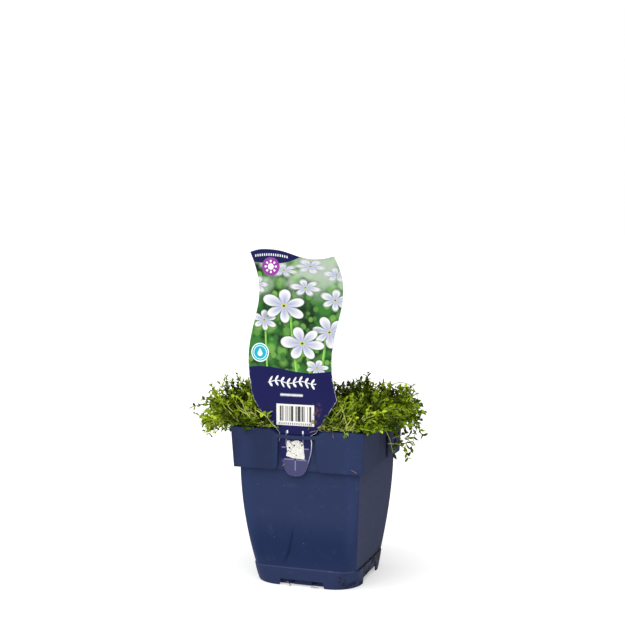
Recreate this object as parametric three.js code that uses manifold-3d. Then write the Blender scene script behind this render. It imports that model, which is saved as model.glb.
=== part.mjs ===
// Blue star creeper growing in a square plastic nursery pot, with its wavy plastic label hooked
// into the front of the rim. Millimetres, +Z up, origin on the ground under the middle of the pot,
// the label's side faces -Y.
import * as THREE from "three";
import { mergeVertices } from "three/addons/utils/BufferGeometryUtils.js";
import Module from "manifold-3d";

const wasm = await Module();
wasm.setup();

// Driving dimensions of the pot
const RIM_Z = 122.5; // top of the pot
const RIM_HALF = 53.5; // half the width over the rim
const SKIRT_Z = 91.5; // lower edge of the downturned skirt
const SKIRT_HALF = 51.8; // half the width over the skirt's lower edge
const SKIRT_RADIUS = 3; // corner radius of the rim and skirt
const NECK_HALF = 47.8; // half the body's width just under the skirt
const SHOULDER_HALF = 48.9; // half the body's width at the rim
const NECK_RADIUS = 1.5; // corner radius there
const FOOT_Z = 14; // height of the foot band
const WAIST_HALF = 41.9; // half the body's width where it meets the foot band
const WAIST_RADIUS = 14.1;
const LEDGE_HALF = 42.4; // half the width over the top of the foot band
const FOOT_HALF = 41.7; // half the width on the ground
const FOOT_RADIUS = 22; // corner radius on the ground
const WALL = 1.1;
const WALL_LEVELS = [FOOT_Z + 0.4, 22, 31, 42, 56, 74, SKIRT_Z];
const FLOOR_Z = 5.5; // underside of the raised floor
const WELL_HALF = 36.5; // half the width of the sunken middle, which stands on the ground
const WELL_RADIUS = 17;
const ARCH_HALF = 17.6; // half the width of the arch in each side of the foot
const ARCH_SLOPE = 0.2; // how much wider that half gets with each millimetre down
const BOSS = 14; // width of the boss on each side of the sunken middle
const DRAIN_X = 9; // the drain slots beside it
const DRAIN_Z = 3.6;
const DRAIN_SIZE = 3.8;
const CORNER_STEPS = 4;

// The gap in each side of the skirt, its strap and the band behind it
const GAP_TOP = 15.2; // half the gap's width at the strap
const GAP_LOW = 16.6; // half the gap's width above the rounded corners
const FLAP_RADIUS = 4; // rounded inner corners of the four corner flaps
const DIP_Z = 119; // top of the strap, where the rim dips
const DIP_HALF = 22; // half the length of the dip
const STRAP_HEIGHT = 2.6;
const STRAP_BOW = 1.6; // how far the strap bows outwards
const STRAP_SAG = 0.6;
const BAND_HALF = 19;
const BAND_FACE = 50.1; // from the pot's middle to the band's outer face
const BAND_DEPTH = 4;
const SLOT_DEPTH = 50.5; // from the pot's middle to the back of the slot behind the strap

// Soil
const CLEAR = 0.3; // gap between pieces that touch
const SOIL_Z = 116.5;
const SOIL_BUMP = 1.1;
const SOIL_STEPS = 8; // squares of relief across it
const SOIL_LEVELS = [FOOT_Z + 0.4, 31, 56];

// Label
const LABEL_FRONT = -51.5;
const LABEL_THICK = 0.625;
const LABEL_HALF = 33.2; // half the label's width
const SIDES_TOP = 252; // where its wavy sides start under the top corners
const SHOULDER_TOP = 157; // where the left side starts to draw in to the neck
const LABEL_NECK_HALF = 12.6; // half the width behind the strap
const TONGUE_HALF = 13.9;
const TONGUE_TOP = 115.6;
const TONGUE_END = 86.8;
const STICKER_THICK = 0.25;

// Plant
const SEED = 218.3; // where the repeatable draw starts
const ACROSS = 7; // sprays in a row and in a column
const SPACING = 13; // between the roots of two sprays
const JITTER = 5; // width of the square that a root may lie in
const RISE = 35; // height of the mat over the soil
const LEFT_REACH = 46; // how far the outer sprays run out over that side of the pot
const RIGHT_REACH = 34;
const BACK_REACH = 24;
const FRONT_REACH = 13;
const SWAY = 15; // how far a spray's tip may stray from its straight way
const RIGHT_SAG = 62; // how far the sprays over that side may hang down
const LEFT_SAG = 40;
const ROOT_DEPTH = 8;
const STEM_RADIUS = 1.1;
const STEM_TAPER = 0.45; // share of its radius that a stem loses
const HOLE_GAP = 0.6; // between a stem's edges and the corners of its hole
const STEM_SIDES = 3;
const STEM_STEPS = 4;
const LEAVES = 12;
const FIRST_LEAF = 0.225; // shares of the stem's length
const LAST_LEAF = 0.97;
const LEAF = { length: 9.4, width: 5.8, thick: 1.1 };
const LEAF_BROAD = 0.42; // share of a leaf's length where it is broadest
const TWIST = Math.PI * (3 - Math.sqrt(5)); // turn from one leaf to the next

const finish = (color, roughness) =>
  new THREE.MeshStandardMaterial({ color, roughness, metalness: 0 });
const POT_PLASTIC = finish(0x2a3863, 0.5);
const LABEL_PRINT = finish(0x262563, 0.3);
const PAPER = finish(0xe9e8e0, 0.8);
const PEAT = finish(0x2b1d14, 0.95);
const FOLIAGE = finish(0x6b8c1f, 0.55);

// Turns a closed geometry into a solid that can be cut and joined.
function solid(geometry) {
  const bare = new THREE.BufferGeometry();
  bare.setAttribute("position", geometry.getAttribute("position"));
  bare.setIndex(geometry.index);
  const merged = mergeVertices(bare, 1e-4);
  return new wasm.Manifold(
    new wasm.Mesh({
      numProp: 3,
      vertProperties: merged.attributes.position.array,
      triVerts: new Uint32Array(merged.index.array),
    }),
  );
}

// Turns a solid back into a named mesh.
function piece(name, shape, material) {
  const cut = shape.getMesh();
  const geometry = new THREE.BufferGeometry();
  geometry.setAttribute("position", new THREE.BufferAttribute(cut.vertProperties, 3));
  geometry.setIndex(new THREE.BufferAttribute(cut.triVerts, 1));
  const mesh = new THREE.Mesh(geometry, material);
  mesh.name = name;
  return mesh;
}

// A skin through rings of equal length, closed by a fan at each end.
function loft(rings) {
  const count = rings[0].length;
  const points = rings.flat();
  const faces = [];
  for (let level = 0; level + 1 < rings.length; level++) {
    for (let i = 0; i < count; i++) {
      const a = level * count + i;
      const b = level * count + ((i + 1) % count);
      faces.push(a, b, b + count, a, b + count, a + count);
    }
  }
  const middle = (ring) =>
    ring.reduce((sum, p) => sum.add(p), new THREE.Vector3()).divideScalar(count);
  const low = points.push(middle(rings[0])) - 1;
  const high = points.push(middle(rings.at(-1))) - 1;
  const last = (rings.length - 1) * count;
  for (let i = 0; i < count; i++) {
    const next = (i + 1) % count;
    faces.push(next, i, low, last + i, last + next, high);
  }
  const geometry = new THREE.BufferGeometry().setFromPoints(points);
  return geometry.setIndex(faces);
}

// A square ring at height z with rounded corners.
function squareRing(half, radius, z) {
  const ring = [];
  for (let corner = 0; corner < 4; corner++) {
    const turn = (corner * Math.PI) / 2;
    const cx = (half - radius) * Math.sqrt(2) * Math.cos(turn + Math.PI / 4);
    const cy = (half - radius) * Math.sqrt(2) * Math.sin(turn + Math.PI / 4);
    for (let step = 0; step <= CORNER_STEPS; step++) {
      const angle = turn + (step / CORNER_STEPS) * (Math.PI / 2);
      ring.push(
        new THREE.Vector3(cx + radius * Math.cos(angle), cy + radius * Math.sin(angle), z),
      );
    }
  }
  return ring;
}

const squareBlock = (half, radius, low, high) =>
  solid(loft([squareRing(half, radius, low), squareRing(half, radius, high)]));

// An outline in x and z, carried back along +Y from y = front.
function plate(outline, front, depth) {
  const geometry = new THREE.ExtrudeGeometry(outline, {
    depth,
    bevelEnabled: false,
    curveSegments: 4,
  });
  return geometry.rotateX(Math.PI / 2).translate(0, front + depth, 0);
}

const box = (width, depth, height, x, y, z) =>
  new THREE.BoxGeometry(width, depth, height).translate(x, y, z);

// The same geometry on each of the pot's four sides.
const onFourSides = (geometry) =>
  [0, 1, 2, 3].map((side) => solid(geometry.clone().rotateZ((side * Math.PI) / 2)));

const join = (shapes) => shapes.reduce((sum, next) => sum.add(next));

// Half the body's width: nearly upright under the rim, drawn in faster towards the foot.
function bodyHalf(z) {
  if (z > SKIRT_Z) {
    const share = (z - SKIRT_Z) / (RIM_Z - SKIRT_Z);
    return THREE.MathUtils.lerp(NECK_HALF, SHOULDER_HALF, share);
  }
  const depth = (SKIRT_Z - z) / (SKIRT_Z - FOOT_Z);
  return NECK_HALF - (NECK_HALF - WAIST_HALF) * depth ** 1.6;
}

// The corners are sharp at the rim and open into a wide round at the foot.
function bodyRadius(z) {
  const depth = Math.max(0, (SKIRT_Z - z) / (SKIRT_Z - FOOT_Z));
  return NECK_RADIUS + (WAIST_RADIUS - NECK_RADIUS) * depth ** 2.3;
}

// The foot band: a little proud of the body, and rounder towards the ground.
const footHalf = (z) => THREE.MathUtils.lerp(FOOT_HALF, LEDGE_HALF, z / FOOT_Z);
const footRadius = (z) => WAIST_RADIUS + (FOOT_RADIUS - WAIST_RADIUS) * (1 - z / FOOT_Z) ** 1.5;

function bodySolid() {
  const foot = [0, 3, 7, FOOT_Z].map((z) => squareRing(footHalf(z), footRadius(z), z));
  const wall = [...WALL_LEVELS, RIM_Z].map((z) =>
    squareRing(bodyHalf(z), bodyRadius(z), z),
  );
  return solid(loft([...foot, ...wall]));
}

// The space inside the wall, set in by inset, from the raised floor up to z = top.
function insideSolid(inset, levels, top) {
  const floor = FLOOR_Z + inset;
  const foot = [floor, FOOT_Z].map((z) => squareRing(footHalf(z) - inset, footRadius(z) - inset, z));
  const wall = [...levels, top].map((z) =>
    squareRing(bodyHalf(z) - inset, Math.max(0.8, bodyRadius(z) - inset), z),
  );
  const well = squareBlock(WELL_HALF - inset, WELL_RADIUS - inset, inset, floor + 1);
  return solid(loft([...foot, ...wall])).add(well);
}

// What is cut out of each side of the skirt: a gap between two flaps, and the dip in the rim.
function gapOutline() {
  const outline = new THREE.Shape();
  const cornerZ = SKIRT_Z + FLAP_RADIUS;
  outline.moveTo(-DIP_HALF - 2, RIM_Z + 1);
  outline.lineTo(-DIP_HALF, RIM_Z);
  outline.lineTo(-GAP_TOP, DIP_Z);
  outline.lineTo(-GAP_LOW, cornerZ);
  outline.absarc(-GAP_LOW - FLAP_RADIUS, cornerZ, FLAP_RADIUS, 0, -Math.PI / 2, true);
  outline.lineTo(-GAP_LOW - FLAP_RADIUS, SKIRT_Z - 1);
  outline.lineTo(GAP_LOW + FLAP_RADIUS, SKIRT_Z - 1);
  outline.lineTo(GAP_LOW + FLAP_RADIUS, SKIRT_Z);
  outline.absarc(GAP_LOW + FLAP_RADIUS, cornerZ, FLAP_RADIUS, -Math.PI / 2, -Math.PI, true);
  outline.lineTo(GAP_TOP, DIP_Z);
  outline.lineTo(DIP_HALF, RIM_Z);
  outline.lineTo(DIP_HALF + 2, RIM_Z + 1);
  return outline;
}

// The strap bows out in front of the gap, so that a label's neck passes behind it.
function strapGeometry() {
  const reach = GAP_TOP + 1;
  const rings = [-1, -0.6, -0.2, 0.2, 0.6, 1].map((share) => {
    const x = share * reach;
    const y = 0.7 - RIM_HALF - STRAP_BOW * (1 - share ** 2);
    const top = DIP_Z - STRAP_SAG * (1 - share ** 2);
    return [
      new THREE.Vector3(x, y, top),
      new THREE.Vector3(x, y, top - STRAP_HEIGHT),
      new THREE.Vector3(x, y + WALL, top - STRAP_HEIGHT),
      new THREE.Vector3(x, y + WALL, top),
    ];
  });
  return loft(rings.reverse());
}

// The rim and the skirt that hangs from it, as a box open below.
function skirtSolid() {
  const slope = (RIM_HALF - SKIRT_HALF) / (RIM_Z - SKIRT_Z);
  const ring = (inset, z) =>
    squareRing(SKIRT_HALF + (z - SKIRT_Z) * slope - inset, SKIRT_RADIUS - inset, z);
  const outside = solid(loft([ring(0, SKIRT_Z), ring(0, RIM_Z)]));
  const inside = solid(loft([ring(WALL, SKIRT_Z - 1), ring(WALL, RIM_Z - WALL)]));
  return outside.subtract(inside);
}

// The channel under the floor, between the foot and the sunken middle.
function channelSolid() {
  const ring = (z) => squareRing(FOOT_HALF - WALL, footRadius(Math.max(z, 0)) - WALL, z);
  const middle = squareBlock(WELL_HALF, WELL_RADIUS, -2, FLOOR_Z + 1);
  return solid(loft([ring(-1), ring(FLOOR_Z)])).subtract(middle);
}

function archGeometry() {
  const low = -1;
  const high = FLOOR_Z - 0.2;
  const half = (z) => ARCH_HALF + ARCH_SLOPE * (FLOOR_Z / 2 - z);
  const outline = new THREE.Shape([
    new THREE.Vector2(-half(low), low),
    new THREE.Vector2(half(low), low),
    new THREE.Vector2(half(high), high),
    new THREE.Vector2(-half(high), high),
  ]);
  return plate(outline, -FOOT_HALF - 2, FOOT_HALF - WELL_HALF);
}

function potSolid() {
  const gaps = onFourSides(plate(gapOutline(), -RIM_HALF - 5, RIM_HALF + 5 - SLOT_DEPTH));
  const bandHeight = DIP_Z - SKIRT_Z - 0.4;
  const bandY = BAND_DEPTH / 2 - BAND_FACE;
  const bandZ = SKIRT_Z + bandHeight / 2;
  const bands = onFourSides(box(2 * BAND_HALF, BAND_DEPTH, bandHeight, 0, bandY, bandZ));
  const bosses = onFourSides(box(BOSS, 3, FLOOR_Z, 0, -WELL_HALF, FLOOR_Z / 2));
  const drains = [-DRAIN_X, DRAIN_X].flatMap((x) =>
    onFourSides(box(DRAIN_SIZE, 4, DRAIN_SIZE, x, 1 - WELL_HALF, DRAIN_Z)),
  );
  const shell = join([bodySolid(), skirtSolid().subtract(join(gaps)), ...bands])
    .add(join(onFourSides(strapGeometry())))
    .subtract(channelSolid())
    .subtract(join(onFourSides(archGeometry())));
  return join([shell, ...bosses])
    .subtract(insideSolid(WALL, WALL_LEVELS, RIM_Z + 1))
    .subtract(join(drains));
}

// A repeatable draw between 0 and 1 for item i, channel k.
function draw(i, k) {
  const wave = Math.sin(i * 127.1 + k * 311.7 + SEED) * 43758.5453;
  return wave - Math.floor(wave);
}

const soilHeight = (x, y) =>
  SOIL_Z +
  SOIL_BUMP * (Math.sin(x * 0.31 + 1.3) * Math.cos(y * 0.27) + 0.4 * Math.sin(x * 0.83 - y * 0.71));

// The pot's fill, its top raised by that formula, with a plain hole for each spray's root.
function soilSolid(holes) {
  const ground = new THREE.BoxGeometry(100, 100, SOIL_Z, SOIL_STEPS, SOIL_STEPS, 1);
  ground.translate(0, 0, SOIL_Z / 2);
  const place = ground.getAttribute("position");
  for (let i = 0; i < place.count; i++) {
    if (place.getZ(i) > SOIL_Z / 2) place.setZ(i, soilHeight(place.getX(i), place.getY(i)));
  }
  const plug = insideSolid(WALL + CLEAR, SOIL_LEVELS, RIM_Z - 1).intersect(solid(ground));
  return plug.subtract(join(holes));
}

// The label's wavy sides: its middle line swings left and right as it rises.
const LABEL_SWING = new THREE.SplineCurve(
  [
    [-3.1, 256.5],
    [0.1, 248],
    [2.8, 239],
    [4, 229],
    [3.2, 218],
    [0.4, 206],
    [-2.6, 194],
    [-4.5, 182],
    [-4.9, 172],
    [-4.1, 162],
    [-2, 152],
    [-0.4, 145.9],
  ].map(([x, z]) => new THREE.Vector2(x, z)),
);
const LABEL_TOP = new THREE.SplineCurve(
  [
    [-36.3, 256.5],
    [-29.4, 258.4],
    [-21.4, 258.7],
    [-10.4, 257.4],
    [3.6, 253.1],
    [13.6, 251.4],
    [23.1, 252],
    [30.2, 253.8],
  ].map(([x, z]) => new THREE.Vector2(x, z)),
);

// The tongue: nearly parallel sides that close in a round end.
function tonguePoints() {
  const top = TONGUE_TOP - 2;
  return Array.from({ length: 13 }, (_, step) => {
    const angle = (step / 12) * Math.PI;
    const drop = Math.sin(angle);
    const half = TONGUE_HALF - 1.2 * drop ** 2;
    return new THREE.Vector2(half * Math.cos(angle), top - (top - TONGUE_END) * drop ** 0.62);
  });
}

function labelOutline() {
  const swing = LABEL_SWING.getPoints(22);
  const right = swing
    .filter((p) => p.y < SIDES_TOP)
    .map((p) => new THREE.Vector2(p.x + LABEL_HALF, p.y));
  const left = swing
    .filter((p) => p.y > SHOULDER_TOP)
    .map((p) => new THREE.Vector2(p.x - LABEL_HALF, p.y));
  const shoulder = new THREE.QuadraticBezierCurve(
    new THREE.Vector2(-36, SHOULDER_TOP - 1),
    new THREE.Vector2(-34, 142),
    new THREE.Vector2(-19.2, 128),
  );
  return new THREE.Shape([
    ...LABEL_TOP.getPoints(14),
    ...right,
    new THREE.Vector2(16.2, 120.6),
    new THREE.Vector2(LABEL_NECK_HALF, 118.6),
    new THREE.Vector2(LABEL_NECK_HALF, TONGUE_TOP),
    new THREE.Vector2(TONGUE_HALF - 0.6, TONGUE_TOP - 0.4),
    ...tonguePoints(),
    new THREE.Vector2(0.6 - TONGUE_HALF, TONGUE_TOP - 0.4),
    new THREE.Vector2(-LABEL_NECK_HALF, TONGUE_TOP),
    new THREE.Vector2(-LABEL_NECK_HALF, 119.6),
    ...shoulder.getPoints(6).reverse(),
    ...left.reverse().slice(0, -1),
  ]);
}

const labelSolid = () => solid(plate(labelOutline(), LABEL_FRONT, LABEL_THICK));

// A torn paper sticker on the tongue.
function stickerSolid() {
  const torn = new THREE.Shape(
    [
      [-8, 102.4],
      [-7, 106.4],
      [-7.7, 111],
      [-7, 114.2],
      [-5.6, 114.4],
      [-4, 113.2],
      [-1.6, 114.4],
      [1.8, 114.4],
      [5.2, 112.8],
      [5.8, 111],
      [6.1, 107],
      [6.8, 100.9],
      [0.4, 100.7],
      [-3.4, 101.2],
    ].map(([x, z]) => new THREE.Vector2(x, z)),
  );
  return solid(plate(torn, LABEL_FRONT - STICKER_THICK, STICKER_THICK));
}

// Where spray i is rooted and how it bends: upright in the middle of the pot, leaning out and over
// the rim nearer its edge.
function sprayRoute(i) {
  const half = (ACROSS - 1) / 2;
  const column = (i % ACROSS) - half;
  const row = Math.floor(i / ACROSS) - half;
  const across = column / half;
  const back = row / half;
  const edge = Math.max(Math.abs(across), Math.abs(back));
  const x = column * SPACING + JITTER * (draw(i, 1) - 0.5);
  const y = row * SPACING + JITTER * (draw(i, 2) - 0.5);
  const vigour = 0.7 + 0.5 * draw(i, 3);
  const sideReach = across < 0 ? LEFT_REACH : RIGHT_REACH;
  const reachX = across * Math.abs(across) * sideReach * vigour + SWAY * (draw(i, 4) - 0.5);
  const lean = back > 0 ? BACK_REACH * vigour * back ** 2 : -FRONT_REACH * (across * back) ** 2;
  const reachY = lean + (back < -0.5 ? 0 : 1) * SWAY * (draw(i, 7) - 0.5);
  const rise = RISE * (1 - 0.1 * edge ** 2) * (0.85 + 0.3 * draw(i, 5));
  const sag = across ** 6 * (across > 0 ? RIGHT_SAG : LEFT_SAG) * draw(i, 6);
  const root = new THREE.Vector3(x, y, SOIL_Z + 1.5 * SOIL_BUMP);
  const tip = root.clone().add(new THREE.Vector3(reachX, reachY, rise - sag));
  const arch = 0.6 * rise + 0.3 * Math.hypot(reachX, reachY) + 0.4 * sag;
  const bend = root.clone().add(new THREE.Vector3(0.35 * reachX, 0.35 * reachY, arch));
  return new THREE.QuadraticBezierCurve3(root, bend, tip);
}

// A point on the stem's straight stretches along its route, with two directions across it.
function onStem(route, t) {
  const stretch = Math.min(Math.floor(t * STEM_STEPS), STEM_STEPS - 1);
  const at = new THREE.Vector3().lerpVectors(
    route.getPoint(stretch / STEM_STEPS),
    route.getPoint((stretch + 1) / STEM_STEPS),
    t * STEM_STEPS - stretch,
  );
  const along = route.getTangent(t);
  const right = new THREE.Vector3().crossVectors(along, new THREE.Vector3(0.2, 1, 0.1)).normalize();
  const over = new THREE.Vector3().crossVectors(along, right);
  return { at, along, right, over };
}

function stemRing({ at, right, over }, radius) {
  return Array.from({ length: STEM_SIDES }, (_, side) => {
    const angle = (side / STEM_SIDES) * 2 * Math.PI;
    return at
      .clone()
      .addScaledVector(right, radius * Math.cos(angle))
      .addScaledVector(over, radius * Math.sin(angle));
  });
}

// The upright stretch of a stem under the soil's surface, at height z.
function rootRing(route, radius, z) {
  const right = new THREE.Vector3(-1, 0, 0);
  const over = new THREE.Vector3(0, -1, 0);
  return stemRing({ at: route.v0.clone().setZ(z), right, over }, radius);
}

// The stem: a slim tapered tube that goes straight down into the soil.
function stemSolid(route, extra) {
  const radius = STEM_RADIUS + extra;
  const rings = [rootRing(route, radius, SOIL_Z - ROOT_DEPTH - extra)];
  for (let step = 0; step <= STEM_STEPS; step++) {
    const t = step / STEM_STEPS;
    rings.push(stemRing(onStem(route, t), STEM_RADIUS * (1 - STEM_TAPER * t) + extra));
  }
  return solid(loft(rings));
}

// The plain hole that a stem stands in.
const stemHole = (route) =>
  solid(
    loft([
      rootRing(route, STEM_RADIUS + HOLE_GAP, SOIL_Z - ROOT_DEPTH - CLEAR),
      rootRing(route, STEM_RADIUS + HOLE_GAP, SOIL_Z + 4),
    ]),
  );

// A leaf: a pointed blade with a flat underside, broadest near its root and thickest along its rib.
function leafSolid(size, extra, place) {
  const length = size.length + extra;
  const half = size.width / 2 + extra;
  const broad = LEAF_BROAD * length;
  const corners = [
    [0, 0, -extra],
    [broad, -half, -extra],
    [length, 0, -extra],
    [broad, half, -extra],
    [broad, 0, size.thick + extra],
  ];
  const geometry = new THREE.BufferGeometry();
  geometry.setAttribute("position", new THREE.Float32BufferAttribute(corners.flat(), 3));
  geometry.setIndex([0, 1, 4, 1, 2, 4, 2, 3, 4, 3, 0, 4, 0, 3, 1, 1, 3, 2]);
  return solid(geometry.applyMatrix4(place));
}

// A leaf's place: its root in the stem, its blade turned round the stem and tilted towards the tip.
function leafPlace(route, t, turn, tilt) {
  const { at, along, right, over } = onStem(route, t);
  const away = right.multiplyScalar(Math.cos(turn)).addScaledVector(over, Math.sin(turn));
  const blade = away.clone().multiplyScalar(Math.cos(tilt)).addScaledVector(along, Math.sin(tilt));
  const face = along.multiplyScalar(Math.cos(tilt)).addScaledVector(away, -Math.sin(tilt));
  const side = new THREE.Vector3().crossVectors(face, blade);
  return new THREE.Matrix4().makeBasis(blade, side, face).setPosition(at);
}

const boxesMeet = (a, b) =>
  [0, 1, 2].every((axis) => a.min[axis] < b.max[axis] && b.min[axis] < a.max[axis]);

function isClear(shape, others) {
  const reach = shape.boundingBox();
  return others
    .filter((other) => boxesMeet(reach, other.boundingBox()))
    .every((other) => shape.intersect(other).isEmpty());
}

// A spray: its leaves twist round the stem, and a leaf that would touch another turns away from it
// or is left off.
function spraySolid(i, route, others) {
  const leaves = [];
  for (let leaf = 0; leaf < LEAVES; leaf++) {
    const t = THREE.MathUtils.lerp(FIRST_LEAF, LAST_LEAF, (leaf / (LEAVES - 1)) ** 0.9);
    const grown = 1 - 0.4 * t ** 4 + 0.2 * (draw(i, 20 + leaf) - 0.5);
    const size = { length: LEAF.length * grown, width: LEAF.width * grown, thick: LEAF.thick };
    const tilt = 0.25 + 0.55 * t + 0.3 * (draw(i, 40 + leaf) - 0.5);
    for (const nudge of [0, 0.5, -0.5, 1, -1, 1.6, -1.6]) {
      const place = leafPlace(route, t, i + leaf * TWIST + nudge, tilt);
      const blade = leafSolid(size, 0, place);
      if (isClear(leafSolid(size, CLEAR, place), others) && isClear(blade, leaves)) {
        leaves.push(blade);
        break;
      }
    }
  }
  return join([stemSolid(route, 0), ...leaves]);
}

const part = new THREE.Group();
const pot = potSolid();
const label = labelSolid();
const routes = Array.from({ length: ACROSS ** 2 }, (_, i) => sprayRoute(i));
const soil = soilSolid(routes.map(stemHole));
part.add(piece("pot", pot, POT_PLASTIC));
part.add(piece("soil", soil, PEAT));
part.add(piece("label", label, LABEL_PRINT));
part.add(piece("sticker", stickerSolid(), PAPER));

const stems = routes.map((route) => stemSolid(route, CLEAR));
const sprays = [];
routes.forEach((route, i) => {
  const otherStems = stems.filter((_, other) => other !== i);
  const spray = spraySolid(i, route, [pot, soil, label, ...otherStems, ...sprays]);
  sprays.push(spray);
  part.add(piece(`spray_${String(i + 1).padStart(2, "0")}`, spray, FOLIAGE));
});
export default part;
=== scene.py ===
import math

import bpy
import numpy as np
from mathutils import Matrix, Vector


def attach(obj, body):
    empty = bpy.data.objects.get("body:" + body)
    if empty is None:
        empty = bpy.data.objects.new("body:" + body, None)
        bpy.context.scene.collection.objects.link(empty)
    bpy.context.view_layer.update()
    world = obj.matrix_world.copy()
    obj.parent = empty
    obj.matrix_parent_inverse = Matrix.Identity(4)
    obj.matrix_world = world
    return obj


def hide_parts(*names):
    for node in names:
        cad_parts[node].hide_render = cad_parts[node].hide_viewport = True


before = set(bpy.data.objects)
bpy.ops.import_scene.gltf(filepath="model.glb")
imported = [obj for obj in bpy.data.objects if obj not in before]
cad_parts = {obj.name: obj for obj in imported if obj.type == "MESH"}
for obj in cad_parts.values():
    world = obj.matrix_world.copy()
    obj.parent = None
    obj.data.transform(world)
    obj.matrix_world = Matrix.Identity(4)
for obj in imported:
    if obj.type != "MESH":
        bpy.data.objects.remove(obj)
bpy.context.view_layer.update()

# The studio: a plain white floor in an even pale surround, with one broad soft light from above and
# in front. The camera looks from the label's side, a little to its right and from just above the
# label's top, tilted a little down.
VIEW_TURN = math.radians(19.29)
VIEW_DIP = math.radians(4.42)
VIEW_AWAY = 0.934
VIEW_ASIDE = 0.00544
VIEW_HEIGHT = 0.27896
LENS_MM = 69.03
LAMP_SPREAD = math.radians(85)
LAMP_FROM = Vector((-0.1, -0.55, 1.0))
LAMP_POWER = 3.1
SKY_POWER = 0.46
FLOOR_WIDTH = 40.0


class Value:
    """What a shader node puts out. Reckoning with it makes one Math node for each step."""

    def __init__(self, socket):
        self.socket = socket
        self.tree = socket.id_data

    def __add__(self, other):
        return calc("ADD", self, other)

    def __sub__(self, other):
        return calc("SUBTRACT", self, other)

    def __rsub__(self, other):
        return calc("SUBTRACT", other, self)

    def __mul__(self, other):
        return calc("MULTIPLY", self, other)

    def __truediv__(self, other):
        return calc("DIVIDE", self, other)

    def __rtruediv__(self, other):
        return calc("DIVIDE", other, self)

    def __pow__(self, power):
        return calc("POWER", self, power)

    def __abs__(self):
        return calc("ABSOLUTE", self)


def plug(socket, value):
    """Links a value to a node's input, or sets the input to a number or a colour."""
    if isinstance(value, Value):
        socket.id_data.links.new(value.socket, socket)
    else:
        socket.default_value = (*value, 1) if socket.type == "RGBA" else value


def new_node(tree, kind, sockets=None, **settings):
    """A node of that kind. sockets gives what is plugged into its inputs, by name or number."""
    made = tree.nodes.new(kind)
    for name, value in settings.items():
        setattr(made, name, value)
    for key, value in (sockets or {}).items():
        plug(made.inputs[key], value)
    return made


def add(tree, kind, sockets=None, out=0, **settings):
    """What a new node puts out at the output of that name or number."""
    return Value(new_node(tree, kind, sockets, **settings).outputs[out])


def tree_of(values):
    """The node tree that these belong to, some of which may be plain numbers."""
    return next(value.tree for value in values if isinstance(value, Value))


def calc(operation, *values):
    """The result of one Math node."""
    return add(tree_of(values), "ShaderNodeMath", dict(enumerate(values)), operation=operation)


def blend(share, first, second):
    """The colour that is first where share is 0 and second where it is 1."""
    return add(share.tree, "ShaderNodeMix", {0: share, 6: first, 7: second}, 2, data_type="RGBA")


def noise(place, scale, detail=2.0, rough=0.5, distortion=0.0):
    """Smooth noise of 0 to 1 with scale waves in a millimetre."""
    sockets = {"Vector": place, "Scale": scale, "Detail": detail}
    sockets |= {"Roughness": rough, "Distortion": distortion}
    return add(place.tree, "ShaderNodeTexNoise", sockets)


def wire(shader, **sockets):
    """Plugs these into the inputs of the same names, with _ for a space."""
    for name, value in sockets.items():
        plug(shader.inputs[name.replace("_", " ")], value)


def start_material(name, **sockets):
    """A material with one Principled shader, whose plain sockets are set by name. Gives the material,
    its shader and the place in the object in millimetres."""
    made = bpy.data.materials.new(name)
    made.use_nodes = True
    tree = made.node_tree
    tree.nodes.clear()
    shader = new_node(tree, "ShaderNodeBsdfPrincipled")
    wire(shader, **sockets)
    new_node(tree, "ShaderNodeOutputMaterial", {"Surface": Value(shader.outputs[0])})
    metres = add(tree, "ShaderNodeTexCoord", out="Object")
    place = add(tree, "ShaderNodeVectorMath", {0: metres, "Scale": 1000}, operation="SCALE")
    return made, shader, place


def build_mesh(name, points, faces, smooth=35):
    """A mesh from points in millimetres and arrays of faces with 3 or 4 corners each. An edge
    sharper than smooth degrees stays sharp."""
    corners = np.concatenate([f.ravel() for f in faces])
    sizes = np.concatenate([np.full(len(f), f.shape[1]) for f in faces])
    mesh = bpy.data.meshes.new(name)
    mesh.vertices.add(len(points))
    mesh.vertices.foreach_set("co", (np.asarray(points) * 0.001).astype(np.float32).ravel())
    mesh.loops.add(len(corners))
    mesh.loops.foreach_set("vertex_index", corners.astype(np.int32))
    mesh.polygons.add(len(sizes))
    starts = np.concatenate(([0], np.cumsum(sizes)[:-1]))
    mesh.polygons.foreach_set("loop_start", starts.astype(np.int32))
    mesh.update(calc_edges=True)
    mesh.shade_smooth()
    mesh.set_sharp_from_angle(angle=math.radians(smooth))
    return mesh


def place_mesh(mesh, *materials):
    """An object of the same name at the origin with these materials."""
    for material in materials:
        mesh.materials.append(material)
    made = bpy.data.objects.new(mesh.name, mesh)
    bpy.context.scene.collection.objects.link(made)
    return made


turn_cos, turn_sin = math.cos(VIEW_TURN), math.sin(VIEW_TURN)
camera = bpy.data.objects.new("camera", bpy.data.cameras.new("camera"))
camera.data.lens = LENS_MM
camera.data.sensor_width = 36.0
camera.data.clip_start = 0.05
camera.location = (
    VIEW_AWAY * turn_sin - VIEW_ASIDE * turn_cos,
    -VIEW_AWAY * turn_cos - VIEW_ASIDE * turn_sin,
    VIEW_HEIGHT,
)
camera.rotation_euler = (math.pi / 2 - VIEW_DIP, 0, VIEW_TURN)
bpy.context.scene.collection.objects.link(camera)
bpy.context.scene.camera = camera
bpy.context.scene.view_settings.view_transform = "Standard"

lamp = bpy.data.objects.new("soft_lamp", bpy.data.lights.new("soft_lamp", "SUN"))
lamp.data.energy = LAMP_POWER
lamp.data.angle = LAMP_SPREAD
lamp.rotation_euler = LAMP_FROM.to_track_quat("Z", "Y").to_euler()
bpy.context.scene.collection.objects.link(lamp)

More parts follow.
